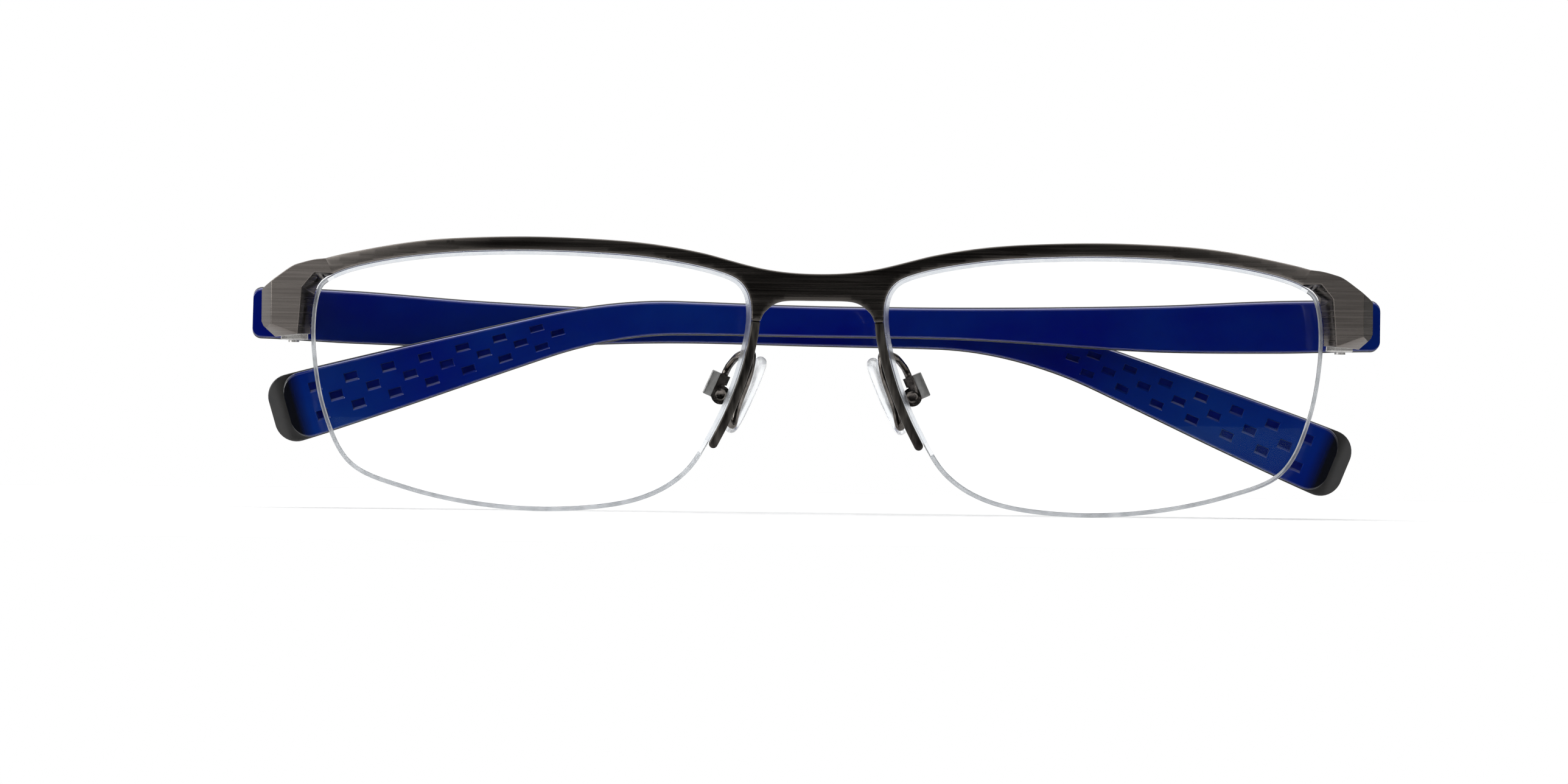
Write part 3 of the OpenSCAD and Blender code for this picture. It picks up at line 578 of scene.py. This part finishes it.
def lens(k):
    """A lens with domed faces, small safety bevels and the groove in its edge."""
    n = CURVE_N
    edge = 0.14
    high, low = LENS_MID_R + GROOVE_W / 2, LENS_MID_R - GROOVE_W / 2
    levels = [
        (edge, LENS_FRONT_R), (0, LENS_FRONT_R - edge), (0, high), (GROOVE_D, high),
        (GROOVE_D, low), (0, low), (0, LENS_BACK_R + edge), (edge, LENS_BACK_R),
    ]
    shares = [0.04, 0.12, 0.24, 0.38, 0.52, 0.66, 0.78, 0.88, 0.95]
    centre = np.array((LENS_X, LENS_Z))

    def face_ring(share, r):
        return [(centre + share * (rim(i, -edge) - centre), r) for i in range(n)]

    rings = [face_ring(share, LENS_FRONT_R) for share in shares]
    rings += [[(rim(i, -cut), r) for i in range(n)] for cut, r in levels]
    rings += [face_ring(share, LENS_BACK_R) for share in reversed(shares)]
    points = [(q[0], dome_y(q[0], q[1], r), q[1]) for ring in rings for q, r in ring]
    faces = ring_faces(len(rings), n)
    points.append((LENS_X, dome_y(LENS_X, LENS_Z, LENS_FRONT_R), LENS_Z))
    points.append((LENS_X, dome_y(LENS_X, LENS_Z, LENS_BACK_R), LENS_Z))
    last = (len(rings) - 1) * n
    for i in range(n):
        m = (i + 1) % n
        faces.append((i, m, len(points) - 2))
        faces.append((last + i, last + m, len(points) - 1))
    obj = mesh_of(put(points, k), faces, SIDE[k] + "_lens_fine", smooth_angle=30)
    dress(obj, [LENS, LENS_EDGE], "front", "lens_clear", SIDE[k] + "_lens")
    for j in range(len(shares), len(shares) + len(levels) - 1):
        for i in range(n):
            obj.data.polygons[j * n + i].material_index = 1
    obj.visible_shadow = False
    return obj


def rim_liner(k):
    first, last = AT_LEG_END * FINE - CURVE_N, AT_BROW_END * FINE
    half = GROOVE_W / 2 - GROOVE_ROOM
    loop = [(GROOVE_D, half), (GROOVE_D, -half), (SEAT - GROOVE_D, -half), (SEAT - GROOVE_D, half)]
    n = len(loop)
    points = []
    for i in range(first, last + 1):
        for off, deep in loop:
            q = rim(i, off)
            points.append((q[0], dome_y(q[0], q[1], LENS_MID_R + deep), q[1]))
    faces = ring_faces(last - first + 1, n)
    faces.append(tuple(range(n)))
    faces.append(tuple(n * (last - first) + i for i in reversed(range(n))))
    obj = mesh_of(put(points, k), faces, SIDE[k] + "_rim_liner_fine")
    obj.visible_shadow = False
    return dress(obj, [LINER], "front", "liner_clear", SIDE[k] + "_rim_liner")


def tube(points, radius, sides):
    """Points and faces of a round tube along a line, with rounded ends."""
    p = [np.array(q, float) for q in points]
    rings = []
    u = None
    for i, q in enumerate(p):
        d = p[min(i + 1, len(p) - 1)] - p[max(i - 1, 0)]
        d /= np.linalg.norm(d)
        if u is None:
            u = np.cross(d, np.array((0.6, -0.8, 0.0)))
        u = u - np.dot(u, d) * d
        u /= np.linalg.norm(u)
        rings.append((q, d, u, np.cross(d, u), radius))

    def cap_ring(ring, way, share):
        q, d, u, v, r = ring
        return q + way * d * r * 0.5 * math.sqrt(1 - share * share), d, u, v, r * share

    cap = [0.35, 0.75, 0.95]
    head = [cap_ring(rings[0], -1, share) for share in cap]
    tail = [cap_ring(rings[-1], 1, share) for share in reversed(cap)]
    rings = head + rings + tail
    verts = []
    for q, d, u, v, r in rings:
        for a in range(sides):
            t = 2 * math.pi * a / sides
            verts.append(q + r * (u * math.cos(t) + v * math.sin(t)))
    return verts, ring_faces(len(rings), sides) + end_faces(len(rings), sides)


def nylon_cord(k):
    inset = GROOVE_D - CORD_ROOM - CORD_D / 2
    points = []
    sides = 12
    steps = range(AT_CORD_END * FINE, (AT_LEG_END - 1) * FINE + 1)
    for i in steps:
        c = rim(i, -inset)
        d = curve_dir(i)
        out = np.array((-d[1], d[0]))
        for a in range(sides):
            t = 2 * math.pi * a / sides
            q = c + CORD_D / 2 * math.cos(t) * out
            points.append((q[0], dome_y(q[0], q[1], LENS_MID_R) - CORD_D / 2 * math.sin(t), q[1]))
    faces = ring_faces(len(steps), sides) + end_faces(len(steps), sides)
    obj = mesh_of(put(points, k), faces, SIDE[k] + "_nylon_cord_fine")
    obj.visible_shadow = False
    return dress(obj, [NYLON], "front", "nylon", SIDE[k] + "_nylon_cord")


# Small metal pieces, taken from their solids and given broken edges

# Faces that turn less than this many degrees are one face
FLAT_ANGLE = 1.2
# A flat end faces along its axis by this share, and has more corners than this
END_FACING, END_CORNERS = 0.99, 8
# Edges this near the seam plane lie in it, and those behind this depth are behind the front face
IN_SEAM, BEHIND_FACE = 0.05, -2.6
# How wide the edges of each kind of small piece are broken
HINGE_BREAK, LEAF_BREAK, BOX_BREAK, INSERT_BREAK = 0.2, 0.1, 0.24, 0.08
HINGE_SCREW_BREAK, PAD_SCREW_BREAK = 0.06, 0.05
# The dish in a screw's ends: the axis of each kind, the rims left round it and its depth
ALONG_Y, ALONG_Z = 1, 2
HINGE_SCREW_RIM, PAD_SCREW_RIM, DISH_DEPTH = 0.3, 0.22, 0.12


def broken_edges(node, width, materials, body, slot, keep=None, segments=2, least=25, sink=None, weld=0.002):
    """A copy of a solid with its edges bevelled, but for those that turn less than least or that keep picks.

    sink is the axis, rim and depth of a dish in each flat end. Points nearer than weld are joined first.
    """
    bm = bmesh.new()
    bm.from_mesh(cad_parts[node].data)
    bmesh.ops.remove_doubles(bm, verts=bm.verts[:], dist=weld * MM)
    bmesh.ops.dissolve_limit(bm, angle_limit=math.radians(FLAT_ANGLE), verts=bm.verts[:], edges=bm.edges[:])
    if sink:
        axis, ring, depth = sink
        ends = [f for f in bm.faces if abs(f.normal[axis]) > END_FACING and len(f.verts) > END_CORNERS]
        bmesh.ops.inset_individual(bm, faces=ends, thickness=ring * MM, depth=-depth * MM)
    edges = []
    for e in bm.edges:
        if len(e.link_faces) != 2 or e.calc_face_angle(0) < math.radians(least):
            continue
        if keep and keep(e):
            continue
        edges.append(e)
    bmesh.ops.bevel(bm, geom=edges, offset=width * MM, offset_type="OFFSET", segments=segments, profile=0.5,
                    affect="EDGES", clamp_overlap=True)
    obj = finish_mesh(bm, node + "_fine", smooth_angle=32, clean=True)
    weigh_normals(obj)
    return dress(obj, materials, body, slot, node)


def plain_edge(e):
    """True for an end piece's edges that stay sharp: at the brow bar's end, and behind the front face."""
    foot = rim(AT_BROW_END * FINE, SEAT)
    along = rim(AT_BROW_END * FINE, BROW_H) - foot
    across = np.array((-along[1], along[0])) / np.linalg.norm(along)
    ends = [np.array((abs(v.co.x) / MM, v.co.z / MM)) - foot for v in e.verts]
    if all(abs(np.dot(q, across)) < IN_SEAM for q in ends):
        return True
    return all(v.co.y > BEHIND_FACE * MM for v in e.verts)


# Temples, drawn along their length from the hinge axis

END_DEPTH, END_IN, END_UP = 4.7, 1.5, 6.0
AXIS_OUT, HINGE_ROOM = 2.6, 0.25
END_REAR = dome_y(TEMPORAL_X - END_IN, HINGE_Z + END_UP) + END_DEPTH
AXIS_X = TEMPORAL_X + AXIS_OUT
AXIS_Y = END_REAR + BUTT_LEN + HINGE_ROOM
LAYER_IN = BARREL_D / 2 + HINGE_ROOM
LAYER_MID = LAYER_IN + INNER_T
LAYER_OUT = LAYER_MID + OUTER_T
# How far before the ear the tip starts to turn in, and the round ends of the two layers
TURN_LEAD = 10.0
TIP_ROUND, TIP_ROUND_IN = 2.8, 2.4
# Rings along a temple, their room beside the recesses' own rings, and how far the end rings stand back
STATIONS, STATION_ROOM, END_TRIM = 110, 0.35, 0.004
# Least distance between two points of a ring, and where a lip's round has its middle, as a share of it
HAIR, LIP_CUT = 0.01, 0.3
# Most of a half height that a round edge takes, and the share of a recess's depth where its floor starts
ROUND_SHARE, FLOOR_SHARE = 0.4, 0.9
# Length from the hinge axis, and the height above and below the temple's line there
HEIGHTS = np.array([
    (-5.2, 3.35, 3.15), (8, 3.15, 3.5), (24, 2.35, 3.5), (47, 1.85, 2.3), (66, 1.85, 2.15),
    (84, 2.25, 2.1), (96, 2.5, 2.55), (108, 3.1, 3.15), (122, 3.85, 3.9), (136, 4.3, 4.35),
])


def column(x, c):
    """The height above, for c of 1, or below, for c of 2, on a smooth curve through the table."""
    t = HEIGHTS
    i = int(np.clip(np.searchsorted(t[:, 0], x, "right") - 1, 0, len(t) - 2))
    w = t[i + 1, 0] - t[i, 0]
    u = min(1, max(0, (x - t[i, 0]) / w))

    def slope(j):
        if j <= 0 or j >= len(t) - 1:
            return 0
        return (t[j + 1, c] - t[j - 1, c]) / (t[j + 1, 0] - t[j - 1, 0])

    return (t[i, c] * (2 * u ** 3 - 3 * u * u + 1) + slope(i) * w * (u ** 3 - 2 * u * u + u)
            + t[i + 1, c] * (3 * u * u - 2 * u ** 3) + slope(i + 1) * w * (u ** 3 - u * u))


def line_at(p, k):
    """The temple's line at a length: place along, place up and angle, with an arc at the ear."""
    start = EAR_AT - EAR_R * math.tan(math.radians(EAR_BEND[k]) / 2)
    run = EAR_R * math.radians(EAR_BEND[k])
    r0 = math.radians(LIE[k])
    a = r0 + min(max(p - start, 0), run) / EAR_R
    s = min(p, start)
    rest = max(p - start - run, 0)
    x = s * math.cos(r0) + EAR_R * (math.sin(a) - math.sin(r0)) + rest * math.cos(a)
    z = -s * math.sin(r0) + EAR_R * (math.cos(a) - math.cos(r0)) - rest * math.sin(a)
    return x, z, a


def turn_in(p):
    lead = EAR_AT - TURN_LEAD
    return -TIP_IN * (max(p - lead, 0) / (TEMPLE_LEN - lead)) ** 2


def temple_point(p, n, w, k):
    """A point at a length, n out from the hinge axis and w above the temple's line."""
    x, z, a = line_at(p, k)
    along, out = -(x + w * math.sin(a)), n + turn_in(p)
    t = math.radians(PAST_FLAT[k])
    across = AXIS_X + along * math.cos(t) - out * math.sin(t)
    back = AXIS_Y + along * math.sin(t) + out * math.cos(t)
    return across, back, HINGE_Z + z + w * math.cos(a)


def end_cut(x, r):
    """How much a round end of radius r takes off at a distance x from the end."""
    return 0 if x >= r else r - math.sqrt(max(0, r * r - (r - x) ** 2))


def stations(start, end, r0, r1, extra=()):
    """Lengths of the rings of a temple, close together at its round ends."""
    s = [start + r0 * (1 - math.cos(math.radians(a))) for a in range(0, 91, 9)]
    e = [end - r1 * (1 - math.cos(math.radians(a))) for a in range(90, -1, -9)]
    s[0] += END_TRIM
    e[-1] -= END_TRIM
    body = list(np.linspace(s[-1], e[0], STATIONS)[1:-1])
    body = [p for p in body if all(abs(p - q) > STATION_ROOM for q in extra)]
    return sorted(s + e + body + list(extra))


def round_corner(n, w, across, along, angles):
    """Points of a round corner at n and w, with its radius signed for each direction."""
    turns = [math.radians(a) for a in angles]
    return [(n + across * (1 - math.sin(t)), w + along * (1 - math.cos(t))) for t in turns]


def loft(name, ps, section, k, smooth_angle=45):
    """Rings of points along a temple. section gives the ring at a length as (n, w) pairs."""
    points = []
    for p in ps:
        points += [temple_point(p, n, w, k) for n, w in section(p)]
    count = len(points) // len(ps)
    faces = ring_faces(len(ps), count)
    faces.append(tuple(range(count)))
    faces.append(tuple((len(ps) - 1) * count + a for a in range(count - 1, -1, -1)))
    return mesh_of(put(points, k), faces, name, smooth_angle)


def temple_outer(k):
    start, end, r0, r1 = -BUTT_LEN, TEMPLE_LEN, BUTT_ROUND, TIP_ROUND
    round_out, lip_most, least, flat = 0.75, 0.12, 0.3, 1.2

    def section(p):
        cut = end_cut(p - start, r0) + end_cut(end - p, r1)
        up, down = max(column(p, 1) - cut, least), max(column(p, 2) - cut, least)
        mid = LAYER_MID + TIP_BEVEL_T * max(0, 1 - (end - p) / TIP_BEVEL_L)
        lip = min(lip_most, LAYER_OUT - round_out - mid - HAIR)
        ring = [(mid, -down + lip)]
        ring += [(mid, w) for w in np.linspace(-down + 2 * lip, up - 2 * lip, 6)]
        ring += [(mid, up - lip), (mid + lip * LIP_CUT, up - lip * LIP_CUT), (mid + lip, up)]
        ring += round_corner(LAYER_OUT, up, -round_out, -round_out, range(0, 91, 15))
        ring += [(LAYER_OUT, w) for w in np.linspace(up - flat, -down + flat, 5)]
        ring += round_corner(LAYER_OUT, -down, -round_out, round_out, range(90, -1, -15))
        ring += [(mid + lip, -down), (mid + lip * LIP_CUT, -down + lip * LIP_CUT)]
        return ring

    obj = loft(SIDE[k] + "_temple_outer_fine", stations(start, end, r0, r1), section, k)
    weigh_normals(obj)
    body = SIDE[k] + "_temple"
    return dress(obj, [DARK], body, "temple_dark", SIDE[k] + "_temple_outer")


def tip_fade(k):
    """Lets the blue layer's tone run out to near black before its end, along the temple's line there."""
    nt = BLUE[k].node_tree
    colour = nt.nodes["Principled BSDF"].inputs["Base Color"]
    blue = colour.links[0].from_socket
    end = TEMPLE_LEN - TIP_SHOW
    a = line_at(end, k)[2]
    way = Vector((-k * math.cos(a), 0, -math.sin(a)))
    reach = way.dot(Vector(put([temple_point(end, LAYER_IN, 0, k)], k)[0]))
    place = nt.nodes.new("ShaderNodeTexCoord")
    along = nt.nodes.new("ShaderNodeVectorMath")
    along.operation = "DOT_PRODUCT"
    along.inputs[1].default_value = way
    nt.links.new(place.outputs["Object"], along.inputs[0])
    near = span(nt, along.outputs["Value"], 0.0, 1.0, reach - FADE_FROM * MM, reach - FADE_TO * MM)
    mix = nt.nodes.new("ShaderNodeMix")
    mix.data_type = "RGBA"
    factor, first, second = mix.inputs[0], mix.inputs[6], mix.inputs[7]
    nt.links.new(near, factor)
    nt.links.new(blue, first)
    second.default_value = (*TIP_TONE, 1)
    nt.links.new(mix.outputs[2], colour)


def temple_inner(k):
    """The blue layer, with rounded long edges and rows of recesses for grip."""
    start, end, r0, r1 = -BUTT_LEN, TEMPLE_LEN - TIP_SHOW, BUTT_ROUND, TIP_ROUND_IN
    over, under, least = 0.42, 0.18, 0.5
    lip, wall, lip_deep, rear = 0.05, 0.09, 0.06, 0.3
    low_arc, high_arc = range(0, 91, 10), range(90, -1, -10)
    pockets = []
    for i in range(GRIP_COUNT):
        for j in range(3):
            pockets.append((TEMPLE_LEN - GRIP_END - GRIP_PITCH * (i + (j % 2) / 2), j))
    half = GRIP_W / 2
    reach = (half + 2 * lip, half + lip, half, half - wall)
    extra = sorted({round(c + s * off, 4) for c, j in pockets for s in (-1, 1) for off in reach})
    full = sum(column(TEMPLE_LEN - GRIP_END, c) for c in (1, 2))
    high = GRIP_H / 2
    # Points of a recess's lower and upper side: place across its row, and depth
    low_side = [(-high - 0.18, 0), (-high - 0.12, 0), (-high + 0.02, 0.065)]
    low_side += [(-high + 0.05, GRIP_DEPTH - 0.07), (-high + 0.2, GRIP_DEPTH)]
    high_side = [(high - wall, GRIP_DEPTH), (high, lip_deep), (high + lip, 0), (high + 2 * lip, 0)]
    rows = []
    for j in (2, 1, 0):
        for off, deep in low_side + high_side:
            rows.append((((1 - j) * GRIP_ROW_GAP + off) / full, deep, j))

    def sunk(t):
        """Depth of a recess at a distance t inside its rim."""
        return float(np.interp(t, (0, lip, lip + wall), (0, lip_deep, GRIP_DEPTH)))

    def section(p):
        cut = EDGE_SHOW + end_cut(p - start, r0) + end_cut(end - p, r1)
        up, down = max(column(p, 1) - cut, least), max(column(p, 2) - cut, least)
        share = column(p, 1) + column(p, 2)
        e, g = min(over, ROUND_SHARE * up), min(under, ROUND_SHARE * down)
        ring = round_corner(LAYER_IN, -down, g, g, low_arc)
        ring.append((LAYER_IN, -down + g + HAIR))
        for i, (f, deep, j) in enumerate(rows):
            w = min(max(f * share, -down + g + 2 * HAIR * (1 + i)), up - e - 2 * HAIR * (len(rows) - i))
            along = max(half + lip - abs(p - c) for c, row in pockets if row == j)
            ring.append((LAYER_IN + min(sunk(along), deep), w))
        ring.append((LAYER_IN, up - e - HAIR))
        ring += round_corner(LAYER_IN, up, e, -e, high_arc)
        ring += [(LAYER_MID - BOND, w) for w in (up, up - rear, -down + rear, -down)]
        return ring

    ps = stations(start, end, r0, r1, extra)
    obj = loft(SIDE[k] + "_temple_inner_fine", ps, section, k, smooth_angle=14)
    weigh_normals(obj)
    depth = np.array([[n - LAYER_IN for n, w in section(p)] for p in ps])
    count = depth.shape[1]
    low = len(low_arc) + 1
    # Faces on the recesses' floors take the darker blue: painted shade
    for j in range(len(ps) - 1):
        for a in range(low, low + len(rows) - 1):
            if np.min(depth[j:j + 2, a:a + 2]) > FLOOR_SHARE * GRIP_DEPTH:
                obj.data.polygons[j * count + a].material_index = 1
    tip_fade(k)
    body = SIDE[k] + "_temple"
    return dress(obj, [BLUE[k], BLUE_RECESS_SHADE], body, "temple_blue", SIDE[k] + "_temple_inner")


# Nose pads and their arms

PAD_AXIS = np.array((BRIDGE_GAP / 2 + 3.65, 8.5, LENS_Z - 1.5))
BOSS_OUT, PAD_UP, INSERT_T = 1.6, 1.3, 0.5
ARM_ON_BOX, BLOCK_UP, BLOCK_AT = 0.6, 2.5, 1.1


def at_pad(q):
    """A point in the pad box's own directions from its screw, on the drawing."""
    t = math.radians(-PAD_SLOPE)
    x, y, z = q
    return PAD_AXIS + np.array((x * math.cos(t) + z * math.sin(t), y, -x * math.sin(t) + z * math.cos(t)))


def pad_local(p, k):
    """A point of the row frame in the pad box's own directions, in millimetres from its screw."""
    t = math.radians(-PAD_SLOPE)
    q = np.array((k * p[0] / MM, p[1] / MM + SET_BACK, p[2] / MM)) - PAD_AXIS
    return q[0] * math.cos(t) - q[2] * math.sin(t), q[1], q[0] * math.sin(t) + q[2] * math.cos(t)


def at_plate(q):
    """A point in the pad plate's own directions, on the drawing."""
    t = math.radians(-PAD_SPLAY)
    x, y, z = q
    out, back = x * math.cos(t) - y * math.sin(t), x * math.sin(t) + y * math.cos(t)
    return at_pad((out - BOSS_OUT, back, z + PAD_UP))


def nose_pad(k):
    """A moulded silicone pad: rounded all round, fuller below, with a shallow dish on the nose side."""
    n = 48
    fuller, dish_edge, dish_deep = 0.1, 0.5, 0.93
    sides = [
        (0.0, 0.62), (0.03, 0.34), (0.12, 0.15), (0.28, 0.04),
        (0.5, 0.0), (0.72, 0.05), (0.88, 0.17), (0.97, 0.36),
    ]
    dish = [(0.8, 1.0), (0.55, 0.97), (0.28, 0.94)]

    def oval(i, inset):
        a = 2 * math.pi * i / n
        w = (PAD_W / 2 - inset) * math.cos(a) * (1 - fuller * math.sin(a))
        return w, (PAD_L / 2 - inset) * math.sin(a)

    points = []
    for share, inset in sides:
        for i in range(n):
            y, z = oval(i, inset * PAD_T)
            points.append(at_plate((-INSERT_T - share * PAD_T, y, z)))
    for size, deep in dish:
        for i in range(n):
            y, z = oval(i, dish_edge * PAD_T)
            points.append(at_plate((-INSERT_T - deep * PAD_T, y * size, z * size)))
    rings = len(sides) + len(dish)
    faces = ring_faces(rings, n)
    faces.append(tuple(range(n)))
    points.append(at_plate((-INSERT_T - dish_deep * PAD_T, 0, 0)))
    for i in range(n):
        faces.append(((rings - 1) * n + i, (rings - 1) * n + (i + 1) % n, len(points) - 1))
    obj = mesh_of(put(points, k), faces, SIDE[k] + "_nose_pad_fine", smooth_angle=60)
    obj.visible_shadow = False
    return dress(obj, [SILICONE], SIDE[k] + "_pad", "pad_silicone", SIDE[k] + "_nose_pad")


def pad_arm(k):
    """A wire from the lower end of the leg, up beside it and over to the top of the pad box."""
    leg = rim((AT_LEG_END + 2) * FINE, SEAT + LEG_W / 2)
    y = dome_y(leg[0], leg[1], DOME_R - LEG_BACK - LEG_DEPTH) + 2 * SEAT

    def beside_leg(i, back):
        q = rim((AT_LEG_END + i) * FINE, SEAT + LEG_W + 0.1)
        return np.array((q[0], y + back, q[1]))

    def over_box(h):
        return at_pad((ARM_ON_BOX, 0, BLOCK_UP + h))

    route = [
        (leg[0], y, leg[1]), (leg[0] - 0.05, y + 0.6, leg[1] - 0.1), (leg[0] - 0.75, y + 1.35, leg[1] - 0.9),
        beside_leg(3, 1.6), beside_leg(5, 1.6), beside_leg(6, 1.8) + np.array((0.1, 0, 0.3)),
        beside_leg(7, 2.3) + np.array((0.7, 0, -0.5)), (PAD_AXIS[0] - 2.25, y + 3.1, PAD_AXIS[2] + 4.95),
        over_box(1.3) + np.array((-0.15, -0.6, 0.1)), over_box(0.6), over_box(2 * SEAT),
    ]
    verts, faces = tube(open_curve(route, 8), ARM_D / 2, 16)
    obj = mesh_of(put(verts, k), faces, SIDE[k] + "_pad_arm_fine", smooth_angle=50)
    return dress(obj, [PAD_METAL], "front", "pad_metal", SIDE[k] + "_pad_arm")


def off_block(k):
    """A test that is true for a pad box's edges that lie away from the outer end of its block."""
    return lambda e: max(pad_local(v.co, k)[0] for v in e.verts) < BLOCK_AT + 0.3


def pad_box(k):
    node = SIDE[k] + "_pad_box"
    obj = broken_edges(node, BOX_BREAK, [PAD_METAL, PAD_SATIN], "front", "pad_metal",
                       keep=off_block(k), segments=3, weld=0.09)
    for face in obj.data.polygons:
        if pad_local(face.center, k)[0] > BLOCK_AT - 0.02:
            face.material_index = 1


def pad_insert(k):
    obj = broken_edges(SIDE[k] + "_pad_insert", INSERT_BREAK, [PLATE], SIDE[k] + "_pad", "pad_plate")
    obj.visible_shadow = False


# All the pieces

brow_bar()
for k in (LEFT, RIGHT):
    s = SIDE[k]
    nasal_leg(k)
    lens(k)
    rim_liner(k)
    nylon_cord(k)
    pad_arm(k)
    nose_pad(k)
    temple_outer(k)
    temple_inner(k)
    broken_edges(s + "_end_piece", EDGE_BREAK, [END], "front", "end_metal",
                 keep=plain_edge, segments=3, least=14, weld=0.13)
    broken_edges(s + "_front_hinge", HINGE_BREAK, [HINGE], "front", "hinge_metal", segments=3, weld=0.05)
    pad_box(k)
    broken_edges(s + "_temple_hinge", LEAF_BREAK, [HINGE], s + "_temple", "hinge_metal")
    pad_insert(k)
broken_edges("hinge_screws", HINGE_SCREW_BREAK, [STEEL], "front", "screw_steel",
             sink=(ALONG_Z, HINGE_SCREW_RIM, DISH_DEPTH))
broken_edges("pad_screws", PAD_SCREW_BREAK, [PAD_METAL], "front", "screw_steel",
             sink=(ALONG_Y, PAD_SCREW_RIM, DISH_DEPTH))


# Floor, light and camera, in metres

LIGHT_AIM = (0, 0, 0.02)


def floor():
    bm = bmesh.new()
    reach, count, under = 0.32, 96, 0.00002
    z = cad_lo.z - under
    ring = [2 * math.pi * i / count for i in range(count)]
    bm.faces.new([bm.verts.new((reach * math.cos(a), reach * math.sin(a), z)) for a in ring])
    obj = finish_mesh(bm, "floor")
    mat = new_material("floor_pale", (0.72, 0.72, 0.72), 1.0, Specular_IOR_Level=0.0)[0]
    obj.data.materials.append(mat)


def grey_ramp(nt, direction, stops):
    """Grey steps over one axis of a direction, from 0 at its low end to 1 at its high end."""
    place = span(nt, direction, 0.0, 1.0, -1.0, 1.0)
    return ramp(nt, place, [(at, (v, v, v)) for at, v in stops])


def world_light():
    """A white studio: bright behind and above, darker at the far sides and darkest towards the camera."""
    world = bpy.data.worlds.new("studio")
    bpy.context.scene.world = world
    world.use_nodes = True
    nt = world.node_tree
    back = nt.nodes["Background"]
    back.inputs["Color"].default_value = (1, 1, 1, 1)
    place = nt.nodes.new("ShaderNodeTexCoord")
    split = nt.nodes.new("ShaderNodeSeparateXYZ")
    nt.links.new(place.outputs["Generated"], split.inputs["Vector"])
    stops = [(0.0, 0.02), (0.058, 0.03), (0.072, 0.08), (0.09, 0.75), (0.15, 0.95), (0.5, 1.0)]
    front = grey_ramp(nt, split.outputs["Y"], stops)
    stops = [(0.06, 0.42), (0.16, 1.0), (0.25, 1.0), (0.75, 0.56), (0.84, 0.5), (0.9, 0.06)]
    sides = grey_ramp(nt, split.outputs["X"], stops)
    strength = 1.25
    level = maths(nt, "MULTIPLY", front, maths(nt, "MULTIPLY", sides, strength))
    # A straight look through a lens, and the camera's own look, meet a white backdrop
    path = nt.nodes.new("ShaderNodeLightPath")
    bounced = maths(nt, "ADD", path.outputs["Glossy Depth"], path.outputs["Diffuse Depth"])
    straight = maths(nt, "LESS_THAN", bounced, 0.5)
    clear = maths(nt, "MULTIPLY", straight, path.outputs["Is Transmission Ray"])
    through = span(nt, split.outputs["Y"], 0.9, 1.07, -1.0, 0.4)
    one = nt.nodes.new("ShaderNodeMix")
    nt.links.new(clear, one.inputs["Factor"])
    nt.links.new(level, one.inputs["A"])
    nt.links.new(through, one.inputs["B"])
    two = nt.nodes.new("ShaderNodeMix")
    nt.links.new(path.outputs["Is Camera Ray"], two.inputs["Factor"])
    nt.links.new(one.outputs["Result"], two.inputs["A"])
    two.inputs["B"].default_value = 1.0
    nt.links.new(two.outputs["Result"], back.inputs["Strength"])


def area_light(name, at, size, power):
    """A soft light that faces the glasses."""
    data = bpy.data.lights.new(name, "AREA")
    data.shape = "RECTANGLE"
    data.size, data.size_y = size
    data.energy = power
    obj = bpy.data.objects.new(name, data)
    obj.location = at
    obj.rotation_mode = "QUATERNION"
    obj.rotation_quaternion = (Vector(LIGHT_AIM) - Vector(at)).to_track_quat("-Z", "Y")
    bpy.context.scene.collection.objects.link(obj)


def camera():
    """A camera level with the glasses and straight before them, turned by the photograph's slight roll."""
    data = bpy.data.cameras.new("front view")
    obj = bpy.data.objects.new("front view", data)
    bpy.context.scene.collection.objects.link(obj)
    away, width, sensor = 1.6, 0.1953, 36.0
    across, front, up_at = -4.06 * MM, -0.013, 15.2 * MM
    data.sensor_width = sensor
    data.lens = sensor * away / width
    data.clip_start, data.clip_end = 0.05, 50.0
    roll = math.radians(0.69)
    right = Vector((math.cos(roll), 0, math.sin(roll)))
    up = Vector((-math.sin(roll), 0, math.cos(roll)))
    back = Vector((0, -1, 0))
    place = Matrix((right, up, back)).transposed().to_4x4()
    place.translation = Vector((across, front - away, up_at))
    obj.matrix_world = place
    bpy.context.scene.camera = obj


floor()
world_light()
area_light("top", (0, 0.1, 0.9), (0.9, 0.5), 6.0)
area_light("left", (-0.9, -0.35, 0.35), (0.5, 0.6), 5.0)
area_light("right", (0.9, -0.35, 0.35), (0.5, 0.6), 0.8)
camera()
bpy.context.scene.view_settings.view_transform = "Standard"
